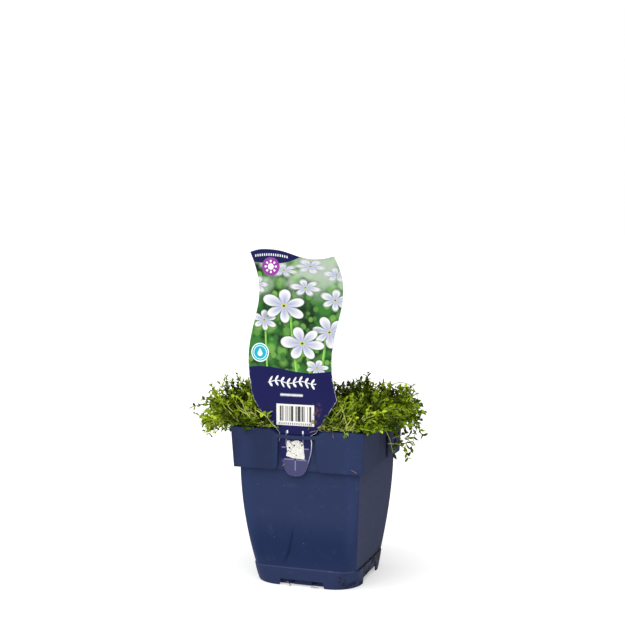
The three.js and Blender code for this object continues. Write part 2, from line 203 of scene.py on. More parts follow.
world = bpy.data.worlds.new("studio")
world.use_nodes = True
sky = world.node_tree
sky.nodes.clear()
seen = add(sky, "ShaderNodeLightPath", out="Is Camera Ray")
pale = add(sky, "ShaderNodeBackground", {"Color": (1, 1, 1), "Strength": SKY_POWER})
white = add(sky, "ShaderNodeBackground", {"Color": (1, 1, 1), "Strength": 1.0})
both = add(sky, "ShaderNodeMixShader", {0: seen, 1: pale, 2: white})
new_node(sky, "ShaderNodeOutputWorld", {"Surface": both})
bpy.context.scene.world = world

floor_paint, shader, place = start_material(
    "floor_paint", Roughness=0.6, Specular_IOR_Level=0.1, Emission_Strength=0.4
)
wire(shader, Base_Color=blend(noise(place, 0.004), (0.69, 0.69, 0.685), (0.71, 0.71, 0.705)))
edge = FLOOR_WIDTH / 2 * 1000
floor_points = np.array([(-edge, -edge, 0), (edge, -edge, 0), (edge, edge, 0), (-edge, edge, 0)])
floor_object = place_mesh(build_mesh("floor", floor_points, [np.array([[0, 1, 2, 3]])]), floor_paint)

# The pot's body: thin injection-moulded plastic, square with sharp upper and wide lower corners, a
# proud foot band with an arch in each side, a raised floor round a sunken middle, and a flat band
# behind the gap in each side of the skirt. The front has been dented near the foot.
RIM_Z = 122.5
SKIRT_Z = 91.5
NECK_HALF = 47.8
SHOULDER_HALF = 48.9
NECK_RADIUS = 1.5
FOOT_Z = 14.0
WAIST_HALF = 41.9
WAIST_RADIUS = 14.1
LEDGE_HALF = 42.4
FOOT_HALF = 41.7
FOOT_RADIUS = 22.0
WALL = 1.1
FLOOR_Z = 5.5
WELL_HALF = 36.5
WELL_RADIUS = 17.0
ARCH_HALF = 17.6
ARCH_Z = 4.9
BOSS_HALF = 7.0
BOSS_OUT = 1.5
DRAIN_X = 9.0
DRAIN_HALF = 1.9
DRAIN_DEEP = 0.9
SIDE_WAVE = 0.12
BAND_HALF = 19.0
BAND_FACE = 50.1
BAND_TOP = 118.6
BODY_ROWS = 46
CREASE_LEAN = 0.262
CREASE_MIDDLE = 65.1
CREASE_DEEP = 0.85
HOLLOW_DEEP = 0.5
FIXED_TO = 24.0
HELD_TO = 19.2
FIXED_KNOTS = [0, 1.2, 2.4, 3.2, 3.9, 4.6, 5.3, 6, 6.9, 7.1, 7.7, 8.4, 9.1, 9.8, 10.5, 10.9, 11.1, 11.8]
FIXED_KNOTS += [12.6, 13.8, 14.5, 14.8, 15.1, 15.45, 15.8, 16.1, 16.5, 17.1, 17.6, 18.1, 18.5, 18.9, 19.1]
FIXED_KNOTS += [19.6, 20.1, 20.6, 21.3, 22, 23, FIXED_TO]
# Half a side's columns, as ring reads them: a fixed distance, a share of the rest, an angle
half_side = np.array(
    [(x, 0, 0) for x in FIXED_KNOTS]
    + [(FIXED_TO, share, 0) for share in np.linspace(0, 1, 9)[1:]]
    + [(FIXED_TO, 1, angle) for angle in np.linspace(0, math.pi / 4, 9)[1:]]
)
COLUMNS = np.concatenate([half_side[:0:-1] * (-1, 1, -1), half_side[:-1]])
COLUMNS[:, 1] *= np.where(np.arange(len(COLUMNS)) < len(half_side) - 1, -1, 1)
ALONG = np.abs(COLUMNS[:, 0]) + FIXED_TO * np.abs(COLUMNS[:, 1])
FRONT = np.array([[1.0], [0.0], [0.0], [0.0]])


def ring(half, radius, z):
    """A ring round the pot, for each column of each side: the fixed distance from the side's middle,
    drawn in past HELD_TO where the straight run is short, then a share of what is left of that run,
    then an angle of the rounded corner. half, radius and z are numbers, or arrays with a value for
    each column."""
    half, radius, z = (np.broadcast_to(v, (4, len(COLUMNS))) for v in (half, radius, z))
    fixed, share, angle = COLUMNS.T
    reach = np.minimum(FIXED_TO, half - radius - 0.1)
    past = np.maximum(np.abs(fixed) - HELD_TO, 0)
    fixed = fixed - np.sign(fixed) * past * (FIXED_TO - reach) / (FIXED_TO - HELD_TO)
    across = fixed + share * (half - radius - reach) + radius * np.sin(angle)
    out = half - radius + radius * np.cos(angle)
    x = np.stack([across[0], out[1], -across[2], -out[3]])
    y = np.stack([-out[0], across[1], out[2], -across[3]])
    return np.stack([x, y, z], axis=-1).reshape(-1, 3)


def stack_faces(rows, count, closed=False):
    """Quads between rows of count points that each run round in a ring; closed joins the last row
    to the first."""
    row = np.arange(rows if closed else rows - 1)[:, None]
    i = np.arange(count)[None, :]
    a, b = row * count + i, row * count + (i + 1) % count
    up = (row + 1) % rows * count - row * count
    return np.stack([a, b, b + up, a + up], axis=-1).reshape(-1, 4)


def pole_faces(pole, first, count, low):
    """The triangles that close a ring of points from first with the point pole, under it if low."""
    i = first + np.arange(count)
    after = first + (np.arange(count) + 1) % count
    fan = [after, i] if low else [i, after]
    return np.stack([*fan, np.full(count, pole)], axis=-1)


def smooth_step(value, low, high):
    """0 up to low, 1 from high on, and 3s^2 - 2s^3 between."""
    s = np.clip((value - low) / (high - low), 0, 1)
    return s * s * (3 - 2 * s)


def body_half(z):
    """Half the body's width: a slight taper under the rim, then drawn in by depth to the power 1.6."""
    depth = np.clip((SKIRT_Z - z) / (SKIRT_Z - FOOT_Z), 0, 1)
    above = np.clip((z - SKIRT_Z) / (RIM_Z - SKIRT_Z), 0, 1)
    return NECK_HALF + (SHOULDER_HALF - NECK_HALF) * above - (NECK_HALF - WAIST_HALF) * depth**1.6


def body_radius(z):
    """The corner radius, which opens with depth to the power 2.3."""
    depth = np.clip((SKIRT_Z - z) / (SKIRT_Z - FOOT_Z), 0, 1)
    return NECK_RADIUS + (WAIST_RADIUS - NECK_RADIUS) * depth**2.3


def foot_half(z):
    """Half the foot band's width: straight from FOOT_HALF at the ground to LEDGE_HALF at its ledge."""
    return FOOT_HALF + (LEDGE_HALF - FOOT_HALF) * z / FOOT_Z


def foot_radius(z):
    """The foot band's corner radius, which opens with the way down from its ledge to the power 1.5."""
    return WAIST_RADIUS + (FOOT_RADIUS - WAIST_RADIUS) * (1 - z / FOOT_Z) ** 1.5


def dent(z):
    """The crease in the front: a dip whose depth falls off as a bell on each side of a line that
    leans with z, fast on its left and slowly on its right, and a shallow hollow to the left of its
    lower end."""
    x = COLUMNS[:, 0] + COLUMNS[:, 1] * 17
    aside = x - CREASE_LEAN * (z - CREASE_MIDDLE)
    wide = np.where(aside < 0, 0.8, 4.5)
    groove = np.exp(-((aside / wide) ** 2)) * smooth_step(z, 16, 27) * smooth_step(-z, -52, -38)
    hollow = np.exp(-(((x + 16.5 - 0.3 * (z - 20)) / 2.4) ** 2 + ((z - 23) / 6) ** 2))
    return FRONT * (CREASE_DEEP * groove + HOLLOW_DEEP * hollow)


boss = np.where(ALONG <= BOSS_HALF, BOSS_OUT, 0.0)
drain = np.where(np.abs(ALONG - DRAIN_X) < DRAIN_HALF + 0.05, DRAIN_DEEP, 0.0)
arch = ARCH_Z * (1 - np.clip((ALONG - ARCH_HALF + 0.5) / 1.0, 0, 1))
wave = SIDE_WAVE * np.sin(COLUMNS[:, 0] * 0.11 + 0.6)
rows = [ring(WELL_HALF - 0.6, WELL_RADIUS - 0.6, 0), ring(WELL_HALF, WELL_RADIUS, 0.5)]
rows += [ring(WELL_HALF + boss, WELL_RADIUS, z) for z in (0.6, 1.7)]
rows += [ring(WELL_HALF + boss - drain, WELL_RADIUS, z) for z in (1.8, 5.3)]
rows += [ring(WELL_HALF + boss, WELL_RADIUS, z) for z in (5.4, FLOOR_Z)]
rows += [ring(foot_half(FLOOR_Z) - WALL, foot_radius(FLOOR_Z) - WALL, FLOOR_Z)]
rows += [ring(foot_half(arch) - WALL, foot_radius(arch) - WALL, arch + 0.3)]
rows += [ring(foot_half(arch) - WALL / 2, foot_radius(arch) - WALL / 2, arch)]
for share in (0, 0.12, 0.3, 0.5, 0.7, 0.85, 1):
    level = arch + 0.3 + (FOOT_Z - 0.5 - arch) * share
    rows.append(ring(foot_half(level), foot_radius(level), level))
rows.append(ring(LEDGE_HALF - 0.15, WAIST_RADIUS - 0.1, FOOT_Z + 0.1))
for z in np.linspace(FOOT_Z + 0.35, SKIRT_Z - 0.2, BODY_ROWS):
    rows.append(ring(body_half(z) + wave * 0.5 - dent(z), body_radius(z), z))
for z in (SKIRT_Z + 0.1, SKIRT_Z + 3, 100, 106, 112, BAND_TOP - 0.2, BAND_TOP):
    band = np.where((ALONG < BAND_HALF) & (z < BAND_TOP), BAND_FACE - body_half(z), 0.0)
    rows.append(ring(body_half(z) + band, NECK_RADIUS, z))
for half, radius, z in ((0, 0, 120.0), (0, 0, 121.8), (0.3, 0.3, 122.2), (0.8, 0.8, 122.2)):
    rows.append(ring(body_half(z) - half, NECK_RADIUS - radius, z))
for z in (121.8, 119, 116, 112, SKIRT_Z, 74, 56, 42, 31, 22, FOOT_Z + 0.4):
    rows.append(ring(body_half(z) - WALL, max(0.4, body_radius(z) - WALL), z))
rows += [ring(foot_half(FLOOR_Z + WALL) - WALL, foot_radius(FLOOR_Z + WALL) - WALL, FLOOR_Z + WALL)]
rows += [ring(WELL_HALF - 2 * WALL, WELL_RADIUS - 2 * WALL, z) for z in (FLOOR_Z + WALL, WALL)]
around = len(rows[0])
body_points = np.concatenate([*rows, [(0, 0, 0), (0, 0, WALL)]])
last = (len(rows) - 1) * around
body_faces = [
    stack_faces(len(rows), around),
    pole_faces(len(body_points) - 2, 0, around, True),
    pole_faces(len(body_points) - 1, last, around, False),
]


def rise(value, low, high):
    """0 up to low, 1 from high on, and a smooth step between; it falls where low is above high."""
    sockets = {"Value": value, "From Min": low, "From Max": high}
    return add(value.tree, "ShaderNodeMapRange", sockets, interpolation_type="SMOOTHSTEP")


def inside(value, low, high, soft=0.3):
    """1 between low and high, with soft edges."""
    return rise(value, low - soft, low + soft) * rise(value, high + soft, high - soft)


def split(vector):
    """The three parts of a place."""
    parts = new_node(vector.tree, "ShaderNodeSeparateXYZ", {0: vector}).outputs
    return [Value(part) for part in parts]


def coat(paint, *layers):
    """The paint under these layers, each a mask and a colour, put on one after the other."""
    for mask, colour in layers:
        paint = blend(mask, paint, colour)
    return paint


def bump(height, strength, distance):
    """The normal that follows a height."""
    sockets = {"Height": height, "Strength": strength, "Distance": distance}
    return add(height.tree, "ShaderNodeBump", sockets)


def scatter(place, scale):
    """Scattered points, scale to a millimetre: how far the nearest one is, and its draw of 0 to 1."""
    cells = new_node(place.tree, "ShaderNodeTexVoronoi", {"Vector": place, "Scale": scale}).outputs
    draw = add(place.tree, "ShaderNodeSeparateColor", {0: Value(cells["Color"])})
    return Value(cells["Distance"]), draw


def start_group(name, inputs, output, kind):
    """A shader node group with inputs of these titles and kinds and one output. Gives the group, its
    inputs' values and the socket that takes its result."""
    group = bpy.data.node_groups.new(name, "ShaderNodeTree")
    sockets = [("INPUT", title, sort) for title, sort in inputs.items()] + [("OUTPUT", output, kind)]
    for side, title, sort in sockets:
        group.interface.new_socket(title, in_out=side, socket_type="NodeSocket" + sort)
    given = new_node(group, "NodeGroupInput").outputs
    result = new_node(group, "NodeGroupOutput").inputs[0]
    return group, [Value(given[title]) for title in inputs], result


def use_group(group, **sockets):
    """What the group puts out for these inputs."""
    return add(tree_of(sockets.values()), "ShaderNodeGroup", sockets, node_tree=group)


# Loose crumbs: where a random share of scattered points lies nearer than Size
crumbs, (place, spacing, size, share), mask = start_group(
    "crumbs", {"Place": "Vector", "Spacing": "Float", "Size": "Float", "Share": "Float"}, "Mask", "Float"
)
wobble = add(crumbs, "ShaderNodeTexNoise", {"Vector": place, "Scale": 0.9}, out=1)
moved = add(crumbs, "ShaderNodeVectorMath", {0: place, 1: wobble}, operation="ADD")
near, chance = scatter(moved, 1 / spacing)
plug(mask, rise(near * spacing / size, 1.0, 0.6) * calc("LESS_THAN", chance, share))


def speckle(place, spacing, size, share):
    """The mask of the crumbs group for a place in millimetres."""
    return use_group(crumbs, Place=place, Spacing=spacing, Size=size, Share=share)


plastic, shader, place = start_material("blue_plastic")
x, y, z = split(place)
cloud = noise(place, 0.025, 3)
on_flaps = rise(z, 90, 92)
on_front = rise(y, -33, -37)
ledge_dust = inside(z, 13.9, 14.4, 0.12) * inside(x, 22, 40, 3) * on_front
ledge_dust = ledge_dust * rise(noise(place, 0.35), 0.45, 0.6) * 0.6
pale_dust = rise(noise(place, 0.12, 6, 0.7), 0.52, 0.8) * 0.12
scuffs = speckle(place, 7, 0.5, 0.4)
# Painted shade in the crease of the dented front and in its branch near the foot
crease_shade = inside(x - (z - CREASE_MIDDLE) * CREASE_LEAN, -0.7, 0.5, 0.5) * inside(z, 22, 45, 6)
crease_branch_shade = inside(x - z * 0.45, -23.2, -20.4, 1.4) * inside(z, 18, 30, 5)
# Painted reflection: the right side, seen at a grazing angle, is painted grey as the pale surround's sheen.
# The sheen is lighter across its middle, patchy and darker on the flap, and the side's gloss is turned off.
corner = calc("MAXIMUM", (SKIRT_Z - z) / (SKIRT_Z - FOOT_Z), 0) ** 2.3
corner = corner * (WAIST_RADIUS - NECK_RADIUS) + NECK_RADIUS
painted_sheen_mask = rise((x - abs(y)) / corner, 0.35, 1) * rise(z, 13.5, 15)
painted_sheen = coat(
    blend(noise(place, 0.08, 6, 0.65), (0.048, 0.054, 0.098), (0.064, 0.068, 0.114)),
    (rise(y, -32, -24) * rise(y, 22, 2) * 0.7, (0.050, 0.060, 0.098)),
    (rise(noise(place, 0.7, 4, 0.75), 0.54, 0.64) * 0.35, (0.020, 0.026, 0.048)),
    (on_flaps, (0.042, 0.048, 0.088)),
)
side_soil = rise(x, 31, 37) * rise(z - y * 0.22, 16, 9) * rise(noise(place, 0.16, 5, 0.7), 0.47, 0.53)
ledge_soil = rise(x, 38, 42) * rise(z - noise(place, 0.45, 4, 0.7) * 11, 9.5, 9.1)
ledge_soil = ledge_soil * rise(z, 12.9, 13.6) * inside(y, -32, 26, 3)
smear = inside(x, 28.5, 34.5, 1.2) * rise(z, 15, 10) * rise(noise(place, 0.6, 4), 0.48, 0.6)
paint = coat(
    blend(cloud, (0.0200, 0.0310, 0.080), (0.0240, 0.0355, 0.090)),
    # Painted shade: the left flap's front, darker where the light falls off
    (rise(x, -14, -22) * on_flaps * rise(y, -40, -45), (0.0190, 0.0275, 0.069)),
    # Painted shade: the body darker above the foot's ledge
    (inside(z, 13, 46, 13) * rise(z, 13, 14.5), (0.0125, 0.0230, 0.071)),
    # Painted light: a lighter band on each face towards its corners
    (inside(abs(x), 37, 46, 5) * 0.5, (0.024, 0.038, 0.104)),
    (painted_sheen_mask, painted_sheen),
    (pale_dust, (0.13, 0.13, 0.16)),
    (scuffs * 0.45, (0.20, 0.12, 0.10)),
    (speckle(place, 8, 0.45, 0.45) * 0.7, (0.006, 0.006, 0.016)),
    (ledge_dust, (0.30, 0.27, 0.27)),
    # Painted highlight: a thin light line along the foot's ledge at the front
    (inside(z, 13.7, 14.7, 0.3) * on_front * 0.5, (0.055, 0.070, 0.140)),
    # Painted shade in the crease and its branch
    (crease_shade * rise(y, -30, -40) * 0.5, (0.005, 0.010, 0.036)),
    (crease_branch_shade * rise(y, -30, -40) * 0.4, (0.005, 0.010, 0.036)),
    (calc("MAXIMUM", side_soil, ledge_soil), (0.005, 0.005, 0.010)),
    (smear * 0.85, (0.020, 0.014, 0.016)),
)
wire(
    shader,
    Base_Color=paint,
    Roughness=pale_dust * 0.8 + (cloud * 0.12 + 0.40),
    # No gloss on the right side, where its reflection is painted
    Specular_IOR_Level=0.03 - painted_sheen_mask * 0.03,
    Normal=bump(noise(place, 1.6, 3) + scuffs * 2, 0.12, 0.0004),
)

body = place_mesh(build_mesh("pot_body", body_points, body_faces), plastic)
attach(body, "root")
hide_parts("pot")

# The rim and its skirt: a flat rim plate that turns down into four flaps with rounded inner corners.
# In the middle of each side the rim dips and only a bowed strap is left, which holds a label's neck.
# All of it is one moulding with the body.
RIM_HALF = 53.5
SKIRT_HALF = 51.8
SKIRT_RADIUS = 1.9
SKIRT_SLOPE = (RIM_HALF - SKIRT_HALF) / (RIM_Z - SKIRT_Z)
STRAP_END = 14.8
GAP_LOW = 15.8
FLAP_RADIUS = 4.0
DIP_Z = 119.0
DIP_HALF = 22.0
STRAP_HEIGHT = 2.6
STRAP_BOW = 1.1
STRAP_SAG = 0.6
BOW_HALF = 16.0
SAG_HALF = 16.2
DIP_WIDTH = 5.2
PLATE_WIDTH = 5.75

sag = np.clip(1 - (ALONG / SAG_HALF) ** 2, 0, 1)
top_line = DIP_Z - STRAP_SAG * sag + (RIM_Z - DIP_Z) * smooth_step(ALONG, STRAP_END, DIP_HALF)
arc = np.clip(GAP_LOW + FLAP_RADIUS - ALONG, 0, FLAP_RADIUS)
low_line = SKIRT_Z + FLAP_RADIUS - np.sqrt(FLAP_RADIUS**2 - arc**2)
lift = np.clip((GAP_LOW - ALONG) / (GAP_LOW - STRAP_END), 0, 1)
low_line = low_line + (DIP_Z - 0.1 - STRAP_HEIGHT - low_line) * lift
low_line = np.where(ALONG < STRAP_END, top_line - STRAP_HEIGHT, low_line)
bow = STRAP_BOW * np.clip(1 - (ALONG / BOW_HALF) ** 2, 0, 1)
width = np.select([ALONG <= STRAP_END, ALONG <= DIP_HALF - 0.5], [WALL + 0.05, DIP_WIDTH], PLATE_WIDTH)


def skirt_ring(inset, z):
    """A ring of the skirt at the height z of each column, set in from its outer face by inset."""
    half = SKIRT_HALF + (z - SKIRT_Z) * SKIRT_SLOPE + bow - inset
    return ring(half, np.maximum(SKIRT_RADIUS - inset, 0.3), z)


rows = [skirt_ring(0.25, low_line), skirt_ring(0.06, low_line + 0.1)]
for share in np.linspace(0, 1, 9):
    rows.append(skirt_ring(0, low_line + 0.3 + (top_line - low_line - 0.9) * share))
rows += [skirt_ring(0.12, top_line - 0.28), skirt_ring(0.35, top_line - 0.08)]
rows += [skirt_ring(0.7, top_line), skirt_ring(width, top_line), skirt_ring(width, top_line - WALL)]
for share in np.linspace(1, 0, 5):
    rows.append(skirt_ring(WALL, low_line + 0.3 + (top_line - WALL - low_line - 0.35) * share))
rows.append(skirt_ring(WALL - 0.25, low_line))
skirt_faces = stack_faces(len(rows), around, closed=True)
skirt = place_mesh(build_mesh("pot_skirt", np.concatenate(rows), [skirt_faces]), plastic)
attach(skirt, "root")
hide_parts("pot")

# The soil: dark moist peat that fills the pot to just under its rim. It was filled in loose round the
# roots, so its top is crumbly and uneven, and it keeps the shape of the pot's inner wall.
CLEAR = 0.3
SOIL_Z = 116.5
SOIL_LEVELS = (SKIRT_Z, 74, 56, 42, 31, 22, FOOT_Z + 0.6, FLOOR_Z + WALL + CLEAR)
SOIL_BUMP = 1.1
SOIL_GRAIN = 0.35
SOIL_CELLS = 120
SOIL_SEED = 5

peat, shader, place = start_material("peat", Specular_IOR_Level=0.2)
lumps = noise(place, 0.45, 6, 0.7)
paint = blend(rise(lumps, 0.3, 0.7), (0.010, 0.006, 0.004), (0.055, 0.030, 0.017))
paint = blend(speckle(place, 3.2, 0.6, 0.3), paint, (0.16, 0.10, 0.055))
wire(shader, Base_Color=paint, Roughness=1 - lumps * 0.2, Normal=bump(lumps, 0.8, 0.0008))


def soil_height(x, y):
    """The soil's top: a wave across x times a wave across y, and a finer slanting wave."""
    broad = np.sin(x * 0.31 + 1.3) * np.cos(y * 0.27)
    return SOIL_Z + SOIL_BUMP * (broad + 0.4 * np.sin(x * 0.83 - y * 0.71))


def rounded(square, half, radius):
    """The points of a square of half width 1 on one of that half width with rounded corners: what
    lies past a corner's centre is turned towards it and put at radius from it."""
    points = square * half
    core = np.clip(points, radius - half, half - radius)
    past = points - core
    length = np.linalg.norm(past, axis=-1, keepdims=True)
    return core + past / np.maximum(length, 1e-9) * radius


def soil_points():
    """A grid over the top, raised by soil_height and seeded crumbs, then rings down its edge that
    follow the pot's inner wall, then the middle of the underside."""
    steps = np.linspace(-1, 1, SOIL_CELLS + 1)
    x, y = np.meshgrid(steps, steps)
    half = body_half(SOIL_Z) - WALL - CLEAR
    draw = np.random.default_rng(SOIL_SEED)
    z = soil_height(x * half, y * half) + draw.normal(0, SOIL_GRAIN, x.shape)
    top = np.stack([x * half, y * half, z], axis=-1).reshape(-1, 3)
    edge = steps[:-1]
    square = np.concatenate(
        [np.stack([edge, edge * 0 - 1], -1), np.stack([edge * 0 + 1, edge], -1),
         np.stack([-edge, edge * 0 + 1], -1), np.stack([edge * 0 - 1, -edge], -1)]
    )
    sides = []
    for level in SOIL_LEVELS:
        half = body_half(level) - WALL - CLEAR
        flat = rounded(square, half, max(0.3, body_radius(level) - WALL))
        sides.append(np.column_stack([flat, np.full(len(flat), level)]))
    return np.concatenate([top, *sides, [(0, 0, SOIL_LEVELS[-1])]])


def soil_faces():
    """The quads of the top grid, of the rings down the edge, and the fan of the underside."""
    wide = SOIL_CELLS + 1
    i, j = np.meshgrid(np.arange(SOIL_CELLS), np.arange(SOIL_CELLS))
    low = (j * wide + i).ravel()
    top = np.stack([low, low + 1, low + 1 + wide, low + wide], axis=-1)
    step = np.arange(SOIL_CELLS)
    last = wide * wide - 1
    rim = np.concatenate([step, step * wide + SOIL_CELLS, last - step, (SOIL_CELLS - step) * wide])
    count = len(rim)
    first = wide * wide + np.arange(count)
    upper = np.stack([first, np.roll(first, -1), np.roll(rim, -1), rim], axis=-1)
    levels = len(SOIL_LEVELS)
    lower = stack_faces(levels, count)[:, ::-1] + wide * wide
    pole = wide * wide + levels * count
    return [top, upper, lower, pole_faces(pole, pole - count, count, True)]


soil = place_mesh(build_mesh("soil_fill", soil_points(), soil_faces(), 60), peat)
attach(soil, "root")
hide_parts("soil")

# The label: one printed sheet of glossy plastic with wavy sides. Its neck goes down behind the strap
# and its tongue hangs out again below it, stiffened by pressed ribs. The front is navy with a picture
# field of flowers, two round marks, an ornament and a bar-code panel; the back is bare.
LABEL_FRONT = -51.5
LABEL_THICK = 0.6
LABEL_HALF = 33.0
LABEL_TOP = 256.5
LABEL_BOW = 0.9
LABEL_WAVE = 0.35
LABEL_ASIDE = -1.4
LABEL_TALL = 0.987
TALL_FROM = 150.0
SWING = [(-3.1, 256.5), (0.1, 248), (2.8, 239), (4, 229), (3.2, 218), (0.4, 206), (-2.6, 194)]
SWING += [(-4.5, 182), (-4.9, 172), (-4.1, 162), (-2, 152), (-0.4, 145.9)]
TOP_EDGE = [(-36.3, 256.5), (-29.4, 258.4), (-21.4, 258.7), (-10.4, 257.4)]
TOP_EDGE += [(3.6, 253.1), (13.6, 251.4), (23.1, 252), (30.2, 253.8)]
NECK_SIDE = [(12.6, 115.6), (12.9, 115.2), (13.2, 113.6)]
RIGHT_SHOULDER = [(16.2, 120.6), (12.6, 118.6)]
LEFT_SHOULDER = [(-35.4, 150.5), (-33.2, 144.4), (-30, 138.8), (-25.4, 133.5), (-19.2, 128)]
LEFT_SHOULDER += [(-12.6, 119.6)]
TONGUE_SIDE = [(0, 87.4), (4.3, 87.9), (7.4, 90.3), (9.2, 94.4), (10.7, 99), (12.2, 104.2), (13, 109)]
TONGUE_SIDE += [(13.2, 113.6)]
TONGUE_TOP = 113.6
TONGUE_END = 87.4
FLAT_TOP = 240.0
LEFT_WAVE_LOW = 157.0
SHEET_COLUMNS = 48
TONGUE_ROWS = 26


def smooth_curve(points, steps=8):
    """Points along the Catmull-Rom curve through these: between two of them, cubic in the share s,
    leaving each with half the step between its neighbours as its slope."""
    p = np.array(points, dtype=float)
    p = np.concatenate([[2 * p[0] - p[1]], p, [2 * p[-1] - p[-2]]])
    s = np.linspace(0, 1, steps, endpoint=False)[:, None, None]
    a, b, c, d = p[:-3], p[1:-2], p[2:-1], p[3:]
    curve = b + s * (c - a) / 2 + s**2 * (a - 2.5 * b + 2 * c - d / 2)
    curve = curve + s**3 * (1.5 * b - 1.5 * c + (d - a) / 2)
    return np.concatenate([curve.transpose(1, 0, 2).reshape(-1, p.shape[1]), p[-2:-1]])


swing = smooth_curve(SWING)
upper_edge = smooth_curve(TOP_EDGE)
above_neck = swing[swing[:, 1] > LEFT_WAVE_LOW]
right_side = np.concatenate([swing + (LABEL_HALF, 0), RIGHT_SHOULDER, NECK_SIDE])[::-1]
left_neck = np.array(NECK_SIDE) * (-1, 1)
tongue_side = smooth_curve(TONGUE_SIDE)
left_side = np.concatenate([above_neck - (LABEL_HALF, 0), LEFT_SHOULDER, left_neck])[::-1]


def label_sides(z):
    """The label's left and right x at each height, read off its side lines, or off the tongue's."""
    tongue = np.interp(z, tongue_side[:, 1], tongue_side[:, 0])
    left = np.where(z < TONGUE_TOP, -tongue, np.interp(z, left_side[:, 1], left_side[:, 0]))
    right = np.where(z < TONGUE_TOP, tongue, np.interp(z, right_side[:, 1], right_side[:, 0]))
    return left + LABEL_ASIDE, right + LABEL_ASIDE


def label_sheet():
    """Rows across the sheet, each once round its front and back, over the pole at the tongue's tip.
    Above FLAT_TOP the rows are stretched to end in the curved upper edge. The sheet bows back with
    the square of the way to its sides and waves a little with height."""
    share = (np.arange(1, TONGUE_ROWS + 1) / TONGUE_ROWS) ** 1.5
    rows = TONGUE_END + (TONGUE_TOP - TONGUE_END) * share
    neck = [115.2, 115.6, 117, 118.6, 119.6, 120.6]
    rows = np.concatenate([rows, neck, np.arange(122, LABEL_TOP, 1.5), [LABEL_TOP]])
    left, right = (side[:, None] for side in label_sides(rows))
    across = np.linspace(-1, 1, SHEET_COLUMNS + 1)[None, :]
    x = (left + right) / 2 + across * (right - left) / 2
    end = np.interp(x - LABEL_ASIDE, upper_edge[:, 0], upper_edge[:, 1])
    stretch = np.clip((rows[:, None] - FLAT_TOP) / (LABEL_TOP - FLAT_TOP), 0, 1)
    z = np.minimum(rows[:, None], FLAT_TOP) + stretch * (end - FLAT_TOP)
    z = z - np.maximum(z - TALL_FROM, 0) * (1 - LABEL_TALL)
    free = smooth_step(z, 125, 165)
    y = LABEL_FRONT + free * (LABEL_BOW * across**2 + LABEL_WAVE * np.sin(z / 26))
    margin = np.minimum((1 - np.abs(across)) * (right - left) / 2, (1 - stretch) * (LABEL_TOP - FLAT_TOP))
    front = np.stack([x, y, z], axis=-1)
    back = front[:, ::-1] + (0, LABEL_THICK, 0)
    points = np.concatenate([front, back], axis=1).reshape(-1, 3)
    margin = np.concatenate([margin, margin[:, ::-1]], axis=1).ravel()
    tip = (LABEL_ASIDE, LABEL_FRONT + LABEL_THICK / 2, TONGUE_END)
    return np.concatenate([points, [tip]]), np.append(margin, 0), len(rows)


sheet_points, sheet_margin, sheet_rows = label_sheet()
round_sheet = 2 * (SHEET_COLUMNS + 1)
i = np.arange(SHEET_COLUMNS)
last = (sheet_rows - 1) * round_sheet
cap = np.stack([last + i, last + i + 1, last + round_sheet - 2 - i, last + round_sheet - 1 - i], -1)
sheet_quads = stack_faces(sheet_rows, round_sheet)
tip_fan = pole_faces(len(sheet_points) - 1, 0, round_sheet, True)
sheet = build_mesh("label_sheet", sheet_points, [sheet_quads, cap, tip_fan])
place_in_ring = np.arange(len(sheet_quads)) % round_sheet
side_of_quad = np.select(
    [place_in_ring < SHEET_COLUMNS, place_in_ring == SHEET_COLUMNS, place_in_ring < round_sheet - 1],
    [0, 1, 2],
    1,
)
rest = np.ones(len(cap) + len(tip_fan))
sheet.polygons.foreach_set("material_index", np.concatenate([side_of_quad, rest]).astype(np.int32))
sheet.attributes.new("margin", "FLOAT", "POINT").data.foreach_set("value", sheet_margin)


def distance(across, up):
    """The length of an offset."""
    return calc("SQRT", across**2 + up**2)


# The bloom of the label's picture: a wheel of petals round a small yellow eye, over its own shade
bloom, (across, up, size, turn, soft, under), result = start_group(
    "bloom",
    {"Across": "Float", "Up": "Float", "Size": "Float", "Turn": "Float", "Soft": "Float", "Under": "Color"},
    "Color",
    "Color",
)
far = distance(across, up) / size
angle = calc("ARCTAN2", up, across) + turn
lobe = abs(calc("COSINE", (calc("SINE", angle + turn) * 0.16 + angle) * 3))
inner = lobe**0.62 * 0.74 + 0.26 + calc("COSINE", angle * 2) * 0.08 - far
petal = coat(
    blend(rise(inner, 0.5, 0), (0.54, 0.55, 0.60), (0.76, 0.76, 0.78)),
    (rise(far, 0.8, 0.1) * (lobe**10 * 0.75 + 0.22), (0.27, 0.29, 0.57)),
    (rise(lobe, 0.5, 0.12) * 0.8, (0.27, 0.31, 0.42)),
    (rise(far, 0.17, 0.11), (0.50, 0.56, 0.12)),
    (rise(far, 0.08, 0.05), (0.06, 0.06, 0.12)),
)
shade = (rise(inner, -0.32, 0.02) * 0.55, (0.014, 0.045, 0.018))
plug(result, coat(under, shade, (rise(inner, soft * -1, soft + 0.03), petal)))

# Each bloom's place on the label, radius, turn, how much its height is squeezed, and its blur
BLOOMS = [(-9, 243, 10, 0.3, 0.5, 0.4), (12, 246, 12, 1.2, 0.42, 0.35), (32, 240, 9, 0.2, 0.6, 0.35)]
BLOOMS += [(-31, 232, 9, 0.9, 0.7, 0.25), (31, 221, 11, 0.6, 0.75, 0.14), (8, 230, 11, 0.2, 0.6, 0.2)]
BLOOMS += [(-25, 205, 10, 0.5, 0.8, 0.08), (26.5, 197, 14, 1.35, 0.8, 0.03)]
BLOOMS += [(-9, 216, 17, 0.55, 0.78, 0.02), (5.5, 188, 16, 0.1, 0.85, 0.02), (17, 170, 9, 0.8, 0.7, 0.05)]
# Each stalk's place at its top, how much it leans, its top and half its width
STALKS = [(-4, 0.12, 210, 1.3), (24, -0.14, 192, 1.2), (9, 0.16, 184, 1.6), (-24, 0.05, 200, 1.0)]


